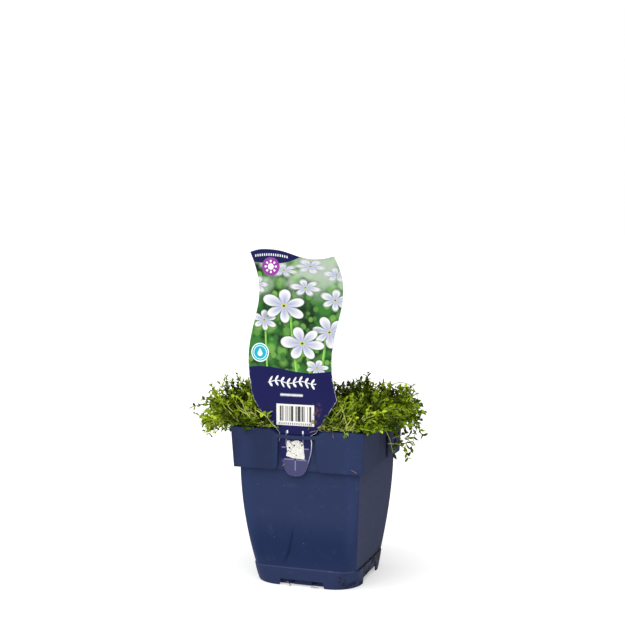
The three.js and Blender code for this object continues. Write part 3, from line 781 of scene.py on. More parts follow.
def paint_picture(place, x, z):
    """Blurred greens with dark gaps, slanting pale stalks, and the blooms from back to front."""
    paint = blend(rise(noise(place, 0.09), 0.35, 0.62), (0.006, 0.022, 0.006), (0.035, 0.17, 0.028))
    for scale, low, high in ((0.10, 0.60, 0.25), (0.17, 0.50, 0.32)):
        near, green = scatter(place, scale)
        leaf = blend(green, (0.02, 0.10, 0.02), (0.20, 0.45, 0.085))
        paint = blend(rise(near, low, high) * 0.75, paint, leaf)
    haze = rise(z, 212, 240) * rise(noise(place, 0.07), 0.38, 0.62)
    paint = blend(haze * 0.85, paint, (0.42, 0.51, 0.40))
    for along, lean, top, wide in STALKS:
        aside = x - ((top - z) * lean + along)
        lit = blend(rise(aside, -0.8, 1), (0.30, 0.62, 0.10), (0.10, 0.34, 0.05))
        paint = blend(rise(abs(aside), wide, wide - 0.5) * rise(z, top, top - 1), paint, lit)
    for along, height, size, turn, squeeze, blur in BLOOMS:
        at = {"Across": x - along, "Up": (z - height) / squeeze}
        paint = use_group(bloom, **at, Size=size, Turn=turn, Soft=blur, Under=paint)
    return paint


def paint_round_marks(paint, x, z):
    """A purple disc with a white sun, and a teal badge with a white ring and a white drop."""
    across, up = x + 19.4, z - 245.6
    away = distance(across, up)
    rays = rise(calc("COSINE", calc("ARCTAN2", up, across) * 8), 0.1, 0.4) * inside(away, 3.2, 4.9, 0.1)
    paint = coat(
        paint,
        (rise(away, 7.2, 6.9), (0.26, 0.045, 0.30)),
        (calc("MAXIMUM", rise(away, 2.5, 2.2), rays), (0.9, 0.88, 0.9)),
    )
    across, up = x + 28.3, z - 180.1
    away = distance(across, up)
    cone = rise(abs(across) * 1.9 + up, 3.6, 3.2) * rise(up, -0.3, 0)
    drop = calc("MAXIMUM", cone, rise(distance(across, up + 0.8), 2.1, 1.8))
    return coat(
        paint,
        (rise(away, 7.4, 7.0), (0.88, 0.92, 0.92)),
        (rise(away, 6.6, 6.3), (0.012, 0.38, 0.48)),
        (inside(away, 4.9, 5.4, 0.1), (0.75, 0.9, 0.92)),
        (drop, (0.9, 0.93, 0.93)),
    )


def paint_ornaments(paint, x, z):
    """White ornaments on the navy: a waving twig with slanting leaves, a row of lozenges below it,
    and a row of short strokes in the corner at the top."""
    high = abs(z - 158.4 - calc("SINE", x * (math.tau / 19)) * 0.9)
    cell = calc("FLOORED_MODULO", x + 22, 4.77) - 2.4 - (high * 0.55 - 1)
    leaf = distance(cell / 0.95, (high - 2) / 1.9)
    twig = calc("MAXIMUM", rise(high, 0.42, 0.24), rise(leaf, 1.08, 0.92))
    lozenge = abs(calc("PINGPONG", x, 0.95) - 0.475) + abs(z - 148.6) * 0.4
    stroke = rise(calc("PINGPONG", x, 0.9), 0.35, 0.55)
    row = inside(z - 254.6 - (x + 21) ** 2 * -0.008, -0.9, 0.9, 0.1)
    return coat(
        paint,
        (twig * inside(x, -21.8, 16.4, 0.1) * inside(z, 153, 164, 0.1), (0.80, 0.80, 0.84)),
        (rise(lozenge, 0.6, 0.45) * inside(x, -11.9, 6.1, 0.1), (0.72, 0.72, 0.78)),
        (stroke * row * inside(x, -32.5, -5.5, 0.1), (0.75, 0.75, 0.80)),
    )


def paint_bar_code(paint, x, z):
    """A white panel with dark bars of drawn widths and a row of short strokes under them."""
    sockets = {"W": calc("FLOOR", x * 2.6)}
    draw = add(x.tree, "ShaderNodeTexWhiteNoise", sockets, noise_dimensions="1D")
    bars = rise(draw, 0.42, 0.48) * inside(x, -12.7, 12.7, 0.1) * inside(z, 128.6, 140.2, 0.1)
    marks = rise(calc("PINGPONG", x, 0.75), 0.3, 0.45) * inside(x, -13.6, 13.2, 0.1)
    return coat(
        paint,
        (inside(x, -15, 15, 0.1) * inside(z, 125.4, 141.6, 0.1), (0.74, 0.73, 0.70)),
        (bars, (0.05, 0.05, 0.05)),
        (marks * inside(z, 125.9, 127.5, 0.1) * 0.8, (0.06, 0.055, 0.07)),
    )


def tongue_ribs(x, z):
    """Pressed ribs of the tongue: two upright ones under the strap, four level ones, one upright."""
    level_ribs = [(108.4, -10.9, -7.6), (107.9, 6.9, 10.6), (99.4, -8.8, -1.2), (99.2, 0.8, 8.8)]
    upright_ribs = [(-7.2, 110.3, 121), (6.1, 109.4, 121.5), (0, 90.8, 98.5)]
    ribs = [inside(z, at - 0.45, at + 0.45) * inside(x, low, high) for at, low, high in level_ribs]
    ribs += [inside(x, at - 0.45, at + 0.45) * inside(z, low, high) for at, low, high in upright_ribs]
    total = ribs[0]
    for rib in ribs[1:]:
        total = calc("MAXIMUM", total, rib)
    return total


print_front, shader, place = start_material("label_front", Specular_IOR_Level=0.14)
x, y, z = split(place)
x = x - LABEL_ASIDE
z = (z - TALL_FROM) / LABEL_TALL + TALL_FROM
navy = blend(noise(place, 0.05, 3), (0.0040, 0.0050, 0.060), (0.0065, 0.0075, 0.072))
picture_foot = calc("COSINE", (x + 26) * (math.pi / 36)) * 1.9 + 167.8
right_arm = calc("MAXIMUM", x + 15, 0) ** 2 * 0.0135
left_arm = calc("MINIMUM", x + 15, 0) ** 2 * 0.003
picture_top = left_arm + (right_arm + 248)
paint = coat(
    navy,
    (rise(z - picture_foot, -0.15, 0.15), paint_picture(place, x, z)),
    (rise(z - picture_top, -0.15, 0.15), navy),
)
paint = paint_bar_code(paint_ornaments(paint_round_marks(paint, x, z), x, z), x, z)
ribs = tongue_ribs(x, z)
glint = inside(z, 119.3, 121.6, 0.2) * rise(abs(abs(x + 0.1) - 6.15), 0.7, 0.4)
mud = inside(x - z * 0.35, -33, -27.8, 1) * inside(z, 126.5, 142.5, 2)
mud = mud * rise(noise(place, 0.34, 5, 0.7), 0.49, 0.56)
margin = add(place.tree, "ShaderNodeAttribute", out="Fac", attribute_name="margin")
chipped = rise(noise(place, 0.5, 3), 0.35, 0.7) * 0.55
cut = rise(margin - chipped, 0.05, -0.05) * rise(z, 190, 160) * rise(z, 108, 118) * 0.6
tongue_edge = rise(margin, 0.7, 0.4) * rise(x, 4, 7) * inside(z, 98, 119, 3)
paint = coat(
    paint,
    (inside(z, 99, 108, 0.4) * rise(x, -3, 0) * 0.45, (0.045, 0.046, 0.122)),
    (rise(z, 99.6, 98.8), (0.050, 0.052, 0.132)),
    # Painted highlight along the pressed ribs
    (ribs * 0.6, (0.30, 0.30, 0.46)),
    (glint, (0.85, 0.85, 0.92)),
    (mud * 0.8, (0.110, 0.052, 0.038)),
    (speckle(place, 4, 0.35, 0.3) * rise(z, 165, 140) * 0.8, (0.15, 0.09, 0.06)),
    (cut, (0.62, 0.62, 0.66)),
    (tongue_edge, blend(rise(z, 106, 114), (0.28, 0.29, 0.42), (0.78, 0.78, 0.82))),
)
height = ribs + noise(place, 0.06) * 0.5
wire(shader, Base_Color=paint, Roughness=mud * 0.4 + 0.35, Normal=bump(height, 0.5, 0.0006))

cut_edge, shader, place = start_material("label_cut_edge", Roughness=0.5)
x, y, z = split(place)
paint = blend(rise(noise(place, 0.4, 3), 0.4, 0.6), (0.16, 0.16, 0.26), (0.50, 0.50, 0.56))
bright_side = rise(x, 0, 2) * inside(z, 104, 121, 4)
wire(shader, Base_Color=blend(bright_side, paint, (0.78, 0.78, 0.82)))

print_back, shader, place = start_material("label_back", Roughness=0.38)
paint = blend(noise(place, 0.03, 3), (0.70, 0.70, 0.70), (0.78, 0.78, 0.77))
wire(shader, Base_Color=blend(speckle(place, 5, 0.35, 0.25) * 0.6, paint, (0.20, 0.14, 0.10)))

label = place_mesh(sheet, print_front, cut_edge, print_back)
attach(label, "root")
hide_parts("label")

# The scrap of a paper sticker on the tongue: what is left of it, glued to the print. It is torn all
# round, creased, and spotted with dark specks of dirt.
STICKER_BACK = LABEL_FRONT - 0.03
STICKER_THICK = 0.2
STICKER_ASIDE = -0.6
STICKER_OUTLINE = [(-8, 102.4), (-7, 106.4), (-7.7, 111), (-7, 114.2), (-5.6, 114.4), (-4, 113.2)]
STICKER_OUTLINE += [(-1.6, 114.4), (1.8, 114.4), (5.2, 112.8), (5.8, 111), (6.1, 107), (6.8, 100.9)]
STICKER_OUTLINE += [(0.4, 100.7), (-3.4, 101.2)]
TEAR = 0.16
TEAR_STEPS = 112
TEAR_SEED = 9
# Each large speck's place on the label and size
STICKER_SPECKS = [(-5.8, 108.9, 0.75), (-2.2, 110.8, 0.6), (2.6, 112.9, 0.55), (4.0, 111.4, 0.5)]
STICKER_SPECKS += [(-5.2, 105.9, 0.45)]


def sticker_points():
    """The outline in short steps with a drawn tear, as rings from the back's pole out, over the torn
    edge and in to the front's pole."""
    corners = np.array(STICKER_OUTLINE[::-1] + STICKER_OUTLINE[-1:], dtype=float)
    share = np.linspace(0, len(STICKER_OUTLINE), TEAR_STEPS, endpoint=False)
    outline = np.stack([np.interp(share, np.arange(len(corners)), corners[:, k]) for k in (0, 1)], -1)
    outline += np.random.default_rng(TEAR_SEED).normal(0, TEAR, outline.shape)
    outline += (STICKER_ASIDE, 0)
    middle = outline.mean(axis=0)
    rings = [(0.5, 0), (1, 0), (1.01, -0.6), (0.985, -1), (0.9, -1), (0.5, -1)]
    points = []
    for size, depth in rings:
        flat = middle + (outline - middle) * size
        y = np.full(len(flat), STICKER_BACK + STICKER_THICK * depth)
        points.append(np.stack([flat[:, 0], y, flat[:, 1]], axis=-1))
    poles = [(middle[0], y, middle[1]) for y in (STICKER_BACK, STICKER_BACK - STICKER_THICK)]
    return np.concatenate([*points, poles]), len(outline), len(rings)


scrap_points, around_scrap, scrap_rings = sticker_points()
pole = len(scrap_points)
scrap_faces = [stack_faces(scrap_rings, around_scrap)]
scrap_faces.append(pole_faces(pole - 2, 0, around_scrap, True))
scrap_faces.append(pole_faces(pole - 1, (scrap_rings - 1) * around_scrap, around_scrap, False))

paper, shader, place = start_material("torn_paper", Roughness=0.85, Specular_IOR_Level=0.2)
x, y, z = split(place)
paint = blend(noise(place, 0.5, 5), (0.68, 0.67, 0.62), (0.76, 0.75, 0.70))
for spacing, size, share in ((2.2, 0.55, 0.25), (4.0, 0.9, 0.3)):
    paint = blend(speckle(place, spacing, size, share) * 0.92, paint, (0.030, 0.026, 0.035))
for to_right, height, size in STICKER_SPECKS:
    away = noise(place, 0.9) * 1.2 + distance(x - to_right, z - height)
    paint = blend(rise(away, size + 0.75, size + 0.45), paint, (0.012, 0.010, 0.016))
scratches = rise(abs(noise(place, 0.34, distortion=2.5) - 0.5), 0.030, 0.012)
scratches = scratches * rise(noise(place, 0.6), 0.44, 0.52) * 0.7
paint = blend(scratches, paint, (0.13, 0.12, 0.13))
wire(shader, Base_Color=paint, Normal=bump(noise(place, 1.2, 4), 0.4, 0.0003))

scrap = place_mesh(build_mesh("sticker_scrap", scrap_points, scrap_faces), paper)
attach(scrap, "root")
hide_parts("sticker")

# The plant: many fine creeping stems with pairs of small pointed leaves. They grow in sprays out of
# the soil, lean out over the rim and hang over its side at the right. Each piece below is one spray
# of stems, which follow the route of the spray of that number in the solid part.
SPRAY_SEED = 218.3
SPRAYS = 49
SPACING = 13.0
RISE = 35.0
SHOOTS = 13
STEPS = 12
STEM_SIDES = 5
STEM_RADIUS = (0.5, 0.24)
SCATTER = 8.0
LEAF = (5.6, 0.29)
LEAF_SPACING = 1.9
GOLDEN_TURN = math.pi * (3 - math.sqrt(5))
RIM_INSIDE = 46.8
RIM_OUTSIDE = 54.2
RIM_UNDER = 112.0
RIM_CLEAR = 123.2
LABEL_FREE = 117.0
MAT_TOP = 150.0
MAT_FRONT = -53.0
MAT_SIDE = 66.0
FIRST_SPRAY_SEED = 1000


def draw(i, k):
    """The solid part's repeatable draw of 0 to 1 for item i and channel k: the part after the point
    of a large sine."""
    wave = np.sin(i * 127.1 + k * 311.7 + SPRAY_SEED) * 43758.5453
    return wave - np.floor(wave)


def spray_routes(i):
    """Root, bend and tip of each spray: they stand in 7 rows of 7, lean out with the square of their
    place across, rise less at the edges, and sag with its sixth power."""
    across, back = (i % 7) / 3 - 1, np.floor(i / 7) / 3 - 1
    edge = np.maximum(np.abs(across), np.abs(back))
    x = across * 3 * SPACING + 5 * (draw(i, 1) - 0.5)
    y = back * 3 * SPACING + 5 * (draw(i, 2) - 0.5)
    vigour = 0.7 + 0.5 * draw(i, 3)
    reach_x = across * np.abs(across) * np.where(across < 0, 46, 34) * vigour + 15 * (draw(i, 4) - 0.5)
    reach_y = np.where(back > 0, 24 * vigour * back**2, -13 * (across * back) ** 2)
    reach_y = reach_y + np.where(back < -0.5, 0, 15 * (draw(i, 7) - 0.5))
    rise_z = RISE * (1 - 0.1 * edge**2) * (0.85 + 0.3 * draw(i, 5))
    sag_z = across**6 * np.where(across > 0, 62, 40) * draw(i, 6)
    root = np.stack([x, y, np.full(len(x), SOIL_Z)], -1)
    tip = root + np.stack([reach_x, reach_y, rise_z - sag_z], -1)
    height = 0.6 * rise_z + 0.3 * np.hypot(reach_x, reach_y) + 0.4 * sag_z
    bend = root + np.stack([0.35 * reach_x, 0.35 * reach_y, height], -1)
    return root, bend, tip


def unit(vectors):
    """The vectors with their length made 1."""
    return vectors / np.maximum(np.linalg.norm(vectors, axis=-1, keepdims=True), 1e-9)


def keep_clear(points, gap):
    """Lifts what would cross the rim onto it, moves what would cross the skirt out from it, and
    puts what would cross the label behind it, or before it where it already is nearly before it."""
    x, y, z = (points[..., k].copy() for k in range(3))
    out = np.maximum(np.abs(x), np.abs(y))
    on_rim = (out > RIM_INSIDE) & (out < RIM_OUTSIDE) & (z > RIM_UNDER)
    z = np.where(on_rim, np.maximum(z, RIM_CLEAR + gap), z)
    beside = (out > RIM_INSIDE) & (out < RIM_OUTSIDE + gap) & (z <= RIM_UNDER)
    push = np.where(beside, (RIM_OUTSIDE + gap) / np.maximum(out, 1), 1)
    x = np.where(beside & (np.abs(x) >= np.abs(y)), x * push, x)
    y = np.where(beside & (np.abs(y) > np.abs(x)), y * push, y)
    left, right = label_sides(z)
    level = (x > left - 0.6) & (x < right + 0.6) & (z > LABEL_FREE)
    behind = LABEL_FRONT + LABEL_THICK + 1.6 + gap
    y = np.where(level & (y > LABEL_FRONT), np.maximum(y, behind), y)
    y = np.where(level & (y <= LABEL_FRONT), np.minimum(y, LABEL_FRONT - 0.3 - gap), y)
    return np.stack([x, y, z], -1)


# Hollows in the mat, painted as shade: stems and leaves near each are painted darker, as where one looks in
# between the stems. x at the mat's front, z and radius
HOLLOWS = [(-53, 135, 8.5), (-45, 137, 5), (-40, 124, 4), (-33, 125, 4.5), (-26, 125.5, 4.5)]
HOLLOWS += [(34, 131, 5), (22, 128, 4), (75, 124.5, 5), (58, 149, 3), (79, 143, 4.5), (-44, 128, 3)]
HOLLOWS += [(50, 131, 3)]


def depth_inside(points):
    """How much shade a point gets, 0 to 1: with its depth under the mat's top, front and sides; beside
    the label, on a strip that is wider at the right, where its shade falls; and in the hollows, which
    run back and to the left."""
    x, y, z = (points[..., k] for k in range(3))
    under = np.minimum(np.minimum(MAT_TOP - z, y - MAT_FRONT), MAT_SIDE - np.abs(x))
    shade = np.clip((under - 6) / 16, 0, 1)
    left, right = label_sides(z)
    past_right = (x - np.minimum(35 - 0.7 * (148 - z), right + 16)) / 8
    past_left = (left - 4 - x) / 6
    beside = np.clip(1 - np.where(x > 0, past_right, past_left), 0, 0.85) * (y > LABEL_FRONT + 1)
    shade = np.maximum(shade, beside)
    for middle, height, radius in HOLLOWS:
        near = np.hypot(x + 0.35 * (y - LABEL_FRONT) - middle, z - height) / radius
        shade = np.maximum(shade, np.clip(1.7 - near, 0, 0.95))
    return shade


def shoot_paths(rng, root, bend, tip):
    """SHOOTS stems for each route: the quadratic curve through root, bend and tip, run along a share
    of it, drawn aside by a share of SCATTER that grows with its length, flattened by a drawn share
    above the soil, with a slow wiggle and a tip that turns up with the cube of the way."""
    count = len(root) * SHOOTS
    root, bend, tip = (np.repeat(p, SHOOTS, axis=0)[:, None, :] for p in (root, bend, tip))
    way = np.linspace(0, 1, STEPS + 1)[None, :, None]
    share = way * rng.uniform(0.62, 1.06, (count, 1, 1))
    path = (1 - share) ** 2 * root + 2 * share * (1 - share) * bend + share**2 * tip
    path = path + rng.normal(0, 2.8, (count, 1, 3)) * (1, 1, 0)
    aside = unit(rng.normal(0, 1, (count, 1, 3))) * (1, 1, 0.5)
    path = path + aside * way**0.8 * SCATTER * rng.uniform(0.3, 1.25, (count, 1, 1))
    flat = rng.uniform(0.3, 0.84, (count, 1))
    path[..., 2] = SOIL_Z + (path[..., 2] - SOIL_Z) * np.where(path[..., 2] > SOIL_Z, flat, 1)
    for turns in (1.3, 2.7):
        phase = rng.uniform(0, math.tau, (count, 1, 3))
        path = path + 2.2 / turns * np.sin(way * math.tau * turns + phase) * way
    path[..., 2:] += way**3 * rng.uniform(-2, 4, (count, 1, 1))
    path[..., 2] = np.maximum(path[..., 2], SOIL_Z + 1 - 4 * (way[..., 0] < 0.02))
    over_side = path[..., 0] > 46
    path[..., 2] = np.where(over_side, np.maximum(path[..., 2], RIM_CLEAR + 3), path[..., 2])
    return keep_clear(path, 0.4)


def stem_frames(path):
    """For each point of each path the way on, and two directions square to it. The first of these
    lies in the plane that the whole stem nearly keeps to."""
    ahead = unit(np.gradient(path, axis=1))
    chord = path[:, -1:] - path[:, :1]
    side = np.cross(path[:, STEPS // 2][:, None] - path[:, :1], chord)
    side = unit(side + (1e-3, 2e-3, 0))
    first = unit(np.cross(ahead, side))
    return ahead, first, np.cross(first, ahead)


def stem_points(path, frames, radius):
    """Rings of STEM_SIDES points round each point of the path, and a pole at each end."""
    ahead, first, second = frames
    turn = np.linspace(0, math.tau, STEM_SIDES, endpoint=False)[None, None, :, None]
    size = np.linspace(radius[0], radius[1], path.shape[1])[None, :, None, None]
    ring_points = first[:, :, None] * np.cos(turn) + second[:, :, None] * np.sin(turn)
    points = path[:, :, None] + ring_points * size
    ends = [path[:, :1] - ahead[:, :1] * radius[0], path[:, -1:] + ahead[:, -1:] * radius[1]]
    return np.concatenate([points.reshape(len(path), -1, 3), *ends], axis=1)


def tube_faces(count, sides):
    """The quads and the end fans of count rings of points whose two poles come last."""
    quads = stack_faces(count, sides)[:, ::-1]
    pole = count * sides
    fans = [pole_faces(pole, 0, sides, False), pole_faces(pole + 1, pole - sides, sides, True)]
    return quads, np.concatenate(fans)


# One leaf: sections along it as shares of its length and of half its width
LEAF_RINGS = [(0.10, 0.30), (0.32, 0.92), (0.60, 0.96), (0.84, 0.52)]
leaf_shape = [(0, 0, 0)]
for along, wide in LEAF_RINGS:
    droop = -0.10 * along**2
    leaf_shape += [(wide, along, droop + 0.11 * wide), (0, along, droop - 0.045)]
    leaf_shape += [(-wide, along, droop + 0.11 * wide), (0, along, droop + 0.02)]
leaf_shape = np.array(leaf_shape + [(0, 1, -0.12)])
leaf_quads = stack_faces(len(LEAF_RINGS), 4) + 1
leaf_tip = len(leaf_shape) - 1
leaf_ends = np.concatenate([pole_faces(0, 1, 4, True), pole_faces(leaf_tip, leaf_tip - 4, 4, False)])


def leaf_places(rng, path, frames, bare, spacing, leaf):
    """Pairs of leaves along each stem, past its bare first part, spacing apart on average. Each leaf
    points out from the stem and along it, its upper face towards the stem's tip and the light.
    Gives each leaf's stem, base, length, half width and its three directions."""
    steps = np.linalg.norm(np.diff(path, axis=1), axis=-1)
    run = steps.sum(axis=1)
    bare = rng.uniform(*bare, len(path))
    counts = np.maximum((run * (1 - bare) / spacing).astype(int) // 2 * 2, 6)
    stem = np.repeat(np.arange(len(path)), counts)
    order = np.arange(len(stem)) - np.repeat(np.cumsum(counts) - counts, counts)
    pair = order // 2
    share = bare[stem] + (1 - bare[stem]) * (2 * pair + 1.2) / counts[stem]
    share = np.clip(share + rng.normal(0, 0.006, len(stem)), 0, 1)
    at = share * STEPS
    low = np.minimum(at.astype(int), STEPS - 1)
    part = (at - low)[:, None]

    def between(values):
        """The values at the leaves' places, each read between two points of its stem."""
        return values[stem, low] * (1 - part) + values[stem, low + 1] * part

    base, ahead = between(path), unit(between(frames[0]))
    turn = pair * GOLDEN_TURN + math.pi * (order % 2) + rng.normal(0, 0.35, len(stem))
    turn = (turn + stem * 2.1)[:, None]
    out = unit(between(frames[1]) * np.cos(turn) + between(frames[2]) * np.sin(turn))
    tilt = np.radians(rng.normal(58, 13, len(stem)) - 26 * share**4)[:, None]
    way = unit(ahead * np.cos(tilt) + out * np.sin(tilt) + (0, 0, 0.12))
    face = ahead + rng.normal(0, 0.3, ahead.shape) + (0, 0, 0.5)
    face = unit(face - way * (face * way).sum(axis=1, keepdims=True))
    size = leaf[0] * rng.uniform(0.6, 1.25, len(stem)) * (1 - 0.35 * share**3)
    wide = size * leaf[1] * rng.uniform(0.85, 1.15, len(stem))
    return stem, base, size, wide, way, face


def leaf_points(base, size, wide, way, face):
    """The leaf's shape set out along each leaf's own three directions."""
    across = np.cross(way, face)
    x, y, z = (leaf_shape[None, :, k, None] for k in range(3))
    size, wide = size[:, None, None], wide[:, None, None]
    points = base[:, None] + across[:, None] * x * wide
    return points + way[:, None] * y * size + face[:, None] * z * size


def read_growth(place):
    """The three numbers that plant_mesh notes at each point."""
    return split(add(place.tree, "ShaderNodeAttribute", out="Vector", attribute_name="growth"))


leaf_green, shader, place = start_material("leaf_green", Specular_IOR_Level=0.06)
across, along, tint = read_growth(place)
mottle = noise(place, 0.9, 3)
lit = rise(tint, 0.05, 0.5)
# A leaf's tint carries drawn tone with painted light and shade: low tints paint it dark as painted shade,
# high tints bright yellow-green as painted light
paint = coat(
    blend(rise(tint, 0, 0.55), (0.009, 0.021, 0.0003), (0.205, 0.325, 0.003)),
    (rise(tint, 0.5, 1), (0.60, 0.70, 0.050)),
    (rise(tint, 0.012, 0), (0.045, 0.030, 0.006)),
    (mottle * 0.2, (0.050, 0.110, 0.002)),
    (rise(abs(across), 0.22, 0.05) * lit * 0.3, (0.33, 0.42, 0.03)),
    (rise(along, 0.2, 0) * lit * 0.6, (0.33, 0.42, 0.04)),
)
wire(shader, Base_Color=paint, Roughness=mottle * 0.2 + 0.45, Normal=bump(mottle, 0.25, 0.0004))

stem_green, shader, place = start_material("stem_green", Roughness=0.5, Specular_IOR_Level=0.08)
painted_stem_shade, along, tint = read_growth(place)
streaks = noise(place, 0.7, 3)
paint = coat(
    blend(rise(tint, 0.05, 0.95), (0.085, 0.100, 0.008), (0.62, 0.70, 0.17)),
    (rise(tint, 0.1, 0), (0.06, 0.022, 0.012)),
    (rise(along, 0.7, 1.2), (0.22, 0.32, 0.018)),
    # Painted shade on stems deep in the mat, beside the label and in the hollows
    (painted_stem_shade * 0.92, (0.016, 0.020, 0.002)),
    (streaks * 0.3, (0.12, 0.15, 0.01)),
)
wire(shader, Base_Color=paint, Normal=bump(streaks, 0.3, 0.0003))


def repeat_faces(faces, count, points):
    """The faces of one shape for count shapes of so many points each."""
    return (faces[None] + np.arange(count)[:, None, None] * points).reshape(-1, faces.shape[1])


def plant_mesh(
    name, rng, path, bare=(0.02, 0.3), spacing=LEAF_SPACING, tints=(0, 1), radius=STEM_RADIUS, leaf=LEAF,
    bark=stem_green, shaded=1.0,
):
    """One mesh of stems along these paths and, if spacing isn't 0, their leaves. The attribute growth
    holds a leaf point's way across it, or a stem point's painted shade from its depth in the mat, then
    the way along it, and a tint. The tint is drawn, and for a leaf it is painted lighter high in the mat,
    at its front and out at its left, and falls with the depth as painted shade."""
    frames = stem_frames(path)
    stems = stem_points(path, frames, radius)
    rings_here = path.shape[1]
    stem_tint = rng.uniform(*tints, len(path))
    along = np.append(np.repeat(np.linspace(0, 1, rings_here), STEM_SIDES), [0, 1])
    growth = np.zeros((*stems.shape[:2], 3))
    growth[..., 0] = shaded * depth_inside(stems)
    growth[..., 1] = along
    growth[..., 2] = stem_tint[:, None]
    faces = [repeat_faces(f, len(path), stems.shape[1]) for f in tube_faces(rings_here, STEM_SIDES)]
    bark_faces = len(faces[0]) + len(faces[1])
    points, notes = [stems.reshape(-1, 3)], [growth.reshape(-1, 3)]
    if spacing > 0:
        stem, base, size, wide, way, face = leaf_places(rng, path, frames, bare, spacing, leaf)
        leaves = keep_clear(leaf_points(base, size, wide, way, face), 0.1)
        # Painted light and shade in each leaf's tint: lighter high in the mat, at its front and out at its
        # left, and darker with the painted shade of depth_inside
        above = np.clip((base[:, 2] - 117) / 34, 0, 1)
        out = np.clip(-(base[:, 0] + 30) / 30, 0, 1)
        front = np.clip(-(base[:, 1] + 10) / 40, 0, 1)
        tint = 0.3 * stem_tint[stem] + 0.3 * above + 0.14 * front + 0.18 * out
        tint = (tint + rng.normal(0.14, 0.18, len(stem))) * (1 - 0.85 * shaded * depth_inside(base))
        tint = tint * np.where(rng.uniform(0, 1, len(stem)) < 0.3, 0.3, 1)
        growth = np.zeros((*leaves.shape[:2], 3))
        growth[..., 0], growth[..., 1] = leaf_shape[:, 0], leaf_shape[:, 1]
        growth[..., 2] = np.clip(tint, 0, 1)[:, None]
        first = len(points[0])
        faces += [repeat_faces(f, len(leaves), len(leaf_shape)) + first for f in (leaf_quads, leaf_ends)]
        points.append(leaves.reshape(-1, 3))
        notes.append(growth.reshape(-1, 3))
    mesh = build_mesh(name, np.concatenate(points), faces, 50)
    kinds = np.zeros(sum(len(f) for f in faces), dtype=np.int32)
    kinds[:bark_faces] = 1
    mesh.polygons.foreach_set("material_index", kinds)
    notes = np.concatenate(notes).astype(np.float32).ravel()
    mesh.attributes.new("growth", "FLOAT_VECTOR", "POINT").data.foreach_set("vector", notes)
    return place_mesh(mesh, leaf_green, bark)


roots, bends, tips = spray_routes(np.arange(SPRAYS))
for number in range(SPRAYS):
    rng = np.random.default_rng(FIRST_SPRAY_SEED + number)
    here = slice(number, number + 1)
    paths = shoot_paths(rng, roots[here], bends[here], tips[here])
    spray = plant_mesh(f"leafy_stems_{number + 1:02d}", rng, paths)
    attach(spray, "root")
    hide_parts(f"spray_{number + 1:02d}")

# The runners: long pale yellow-green stems with few leaves, which slant up through the front of the
# mat on both sides of the label and lie along the rim. They grow from the same roots as the sprays.
RUNNER_RADIUS = (0.5, 0.28)
# Each group's name and number of stems, the box they start in, the box of how far they reach, its seed
RUNNERS = [
    ("runners_right", 34, (16, -50, 117, 40, -46, 124), (-10, -1, 8, 30, 5, 28), 2001),
    ("runners_right_low", 10, (14, -50, 122, 44, -47, 125), (-14, -1, -2, 18, 2, 6), 2002),
    ("runners_left", 26, (-44, -50, 117, -20, -46, 124), (-34, -1, 6, -2, 5, 27), 2003),
    ("runners_left_low", 10, (-48, -50, 122, -20, -47, 125), (-20, -1, -2, 8, 2, 5), 2004),
]


def runner_paths(rng, count, start, reach):
    """Stems from drawn points in a box to drawn points beyond them: straight runs, bowed up by a half
    sine, with a slow wiggle. start and reach hold the box's low corner and then its high one."""
    way = np.linspace(0, 1, STEPS + 1)[None, :, None]
    root = rng.uniform(start[:3], start[3:], (count, 3))[:, None]
    end = root + rng.uniform(reach[:3], reach[3:], (count, 3))[:, None]
    path = root + (end - root) * way
    path[..., 2:] += np.sin(way * math.pi) * rng.uniform(-0.5, 3, (count, 1, 1))
    for turns in (0.9, 2.3):
        phase = rng.uniform(0, math.tau, (count, 1, 3))
        path = path + 1.5 / turns * np.sin(way * math.tau * turns + phase) * (1, 0.5, 1) * way
    return keep_clear(path, 0.4)


for name, count, start, reach, seed in RUNNERS:
    rng = np.random.default_rng(seed)
    paths = runner_paths(rng, count, start, reach)
    runners = plant_mesh(name, rng, paths, (0.35, 0.8), 3.0, (0.75, 1), RUNNER_RADIUS, shaded=0.25)
    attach(runners, "root")

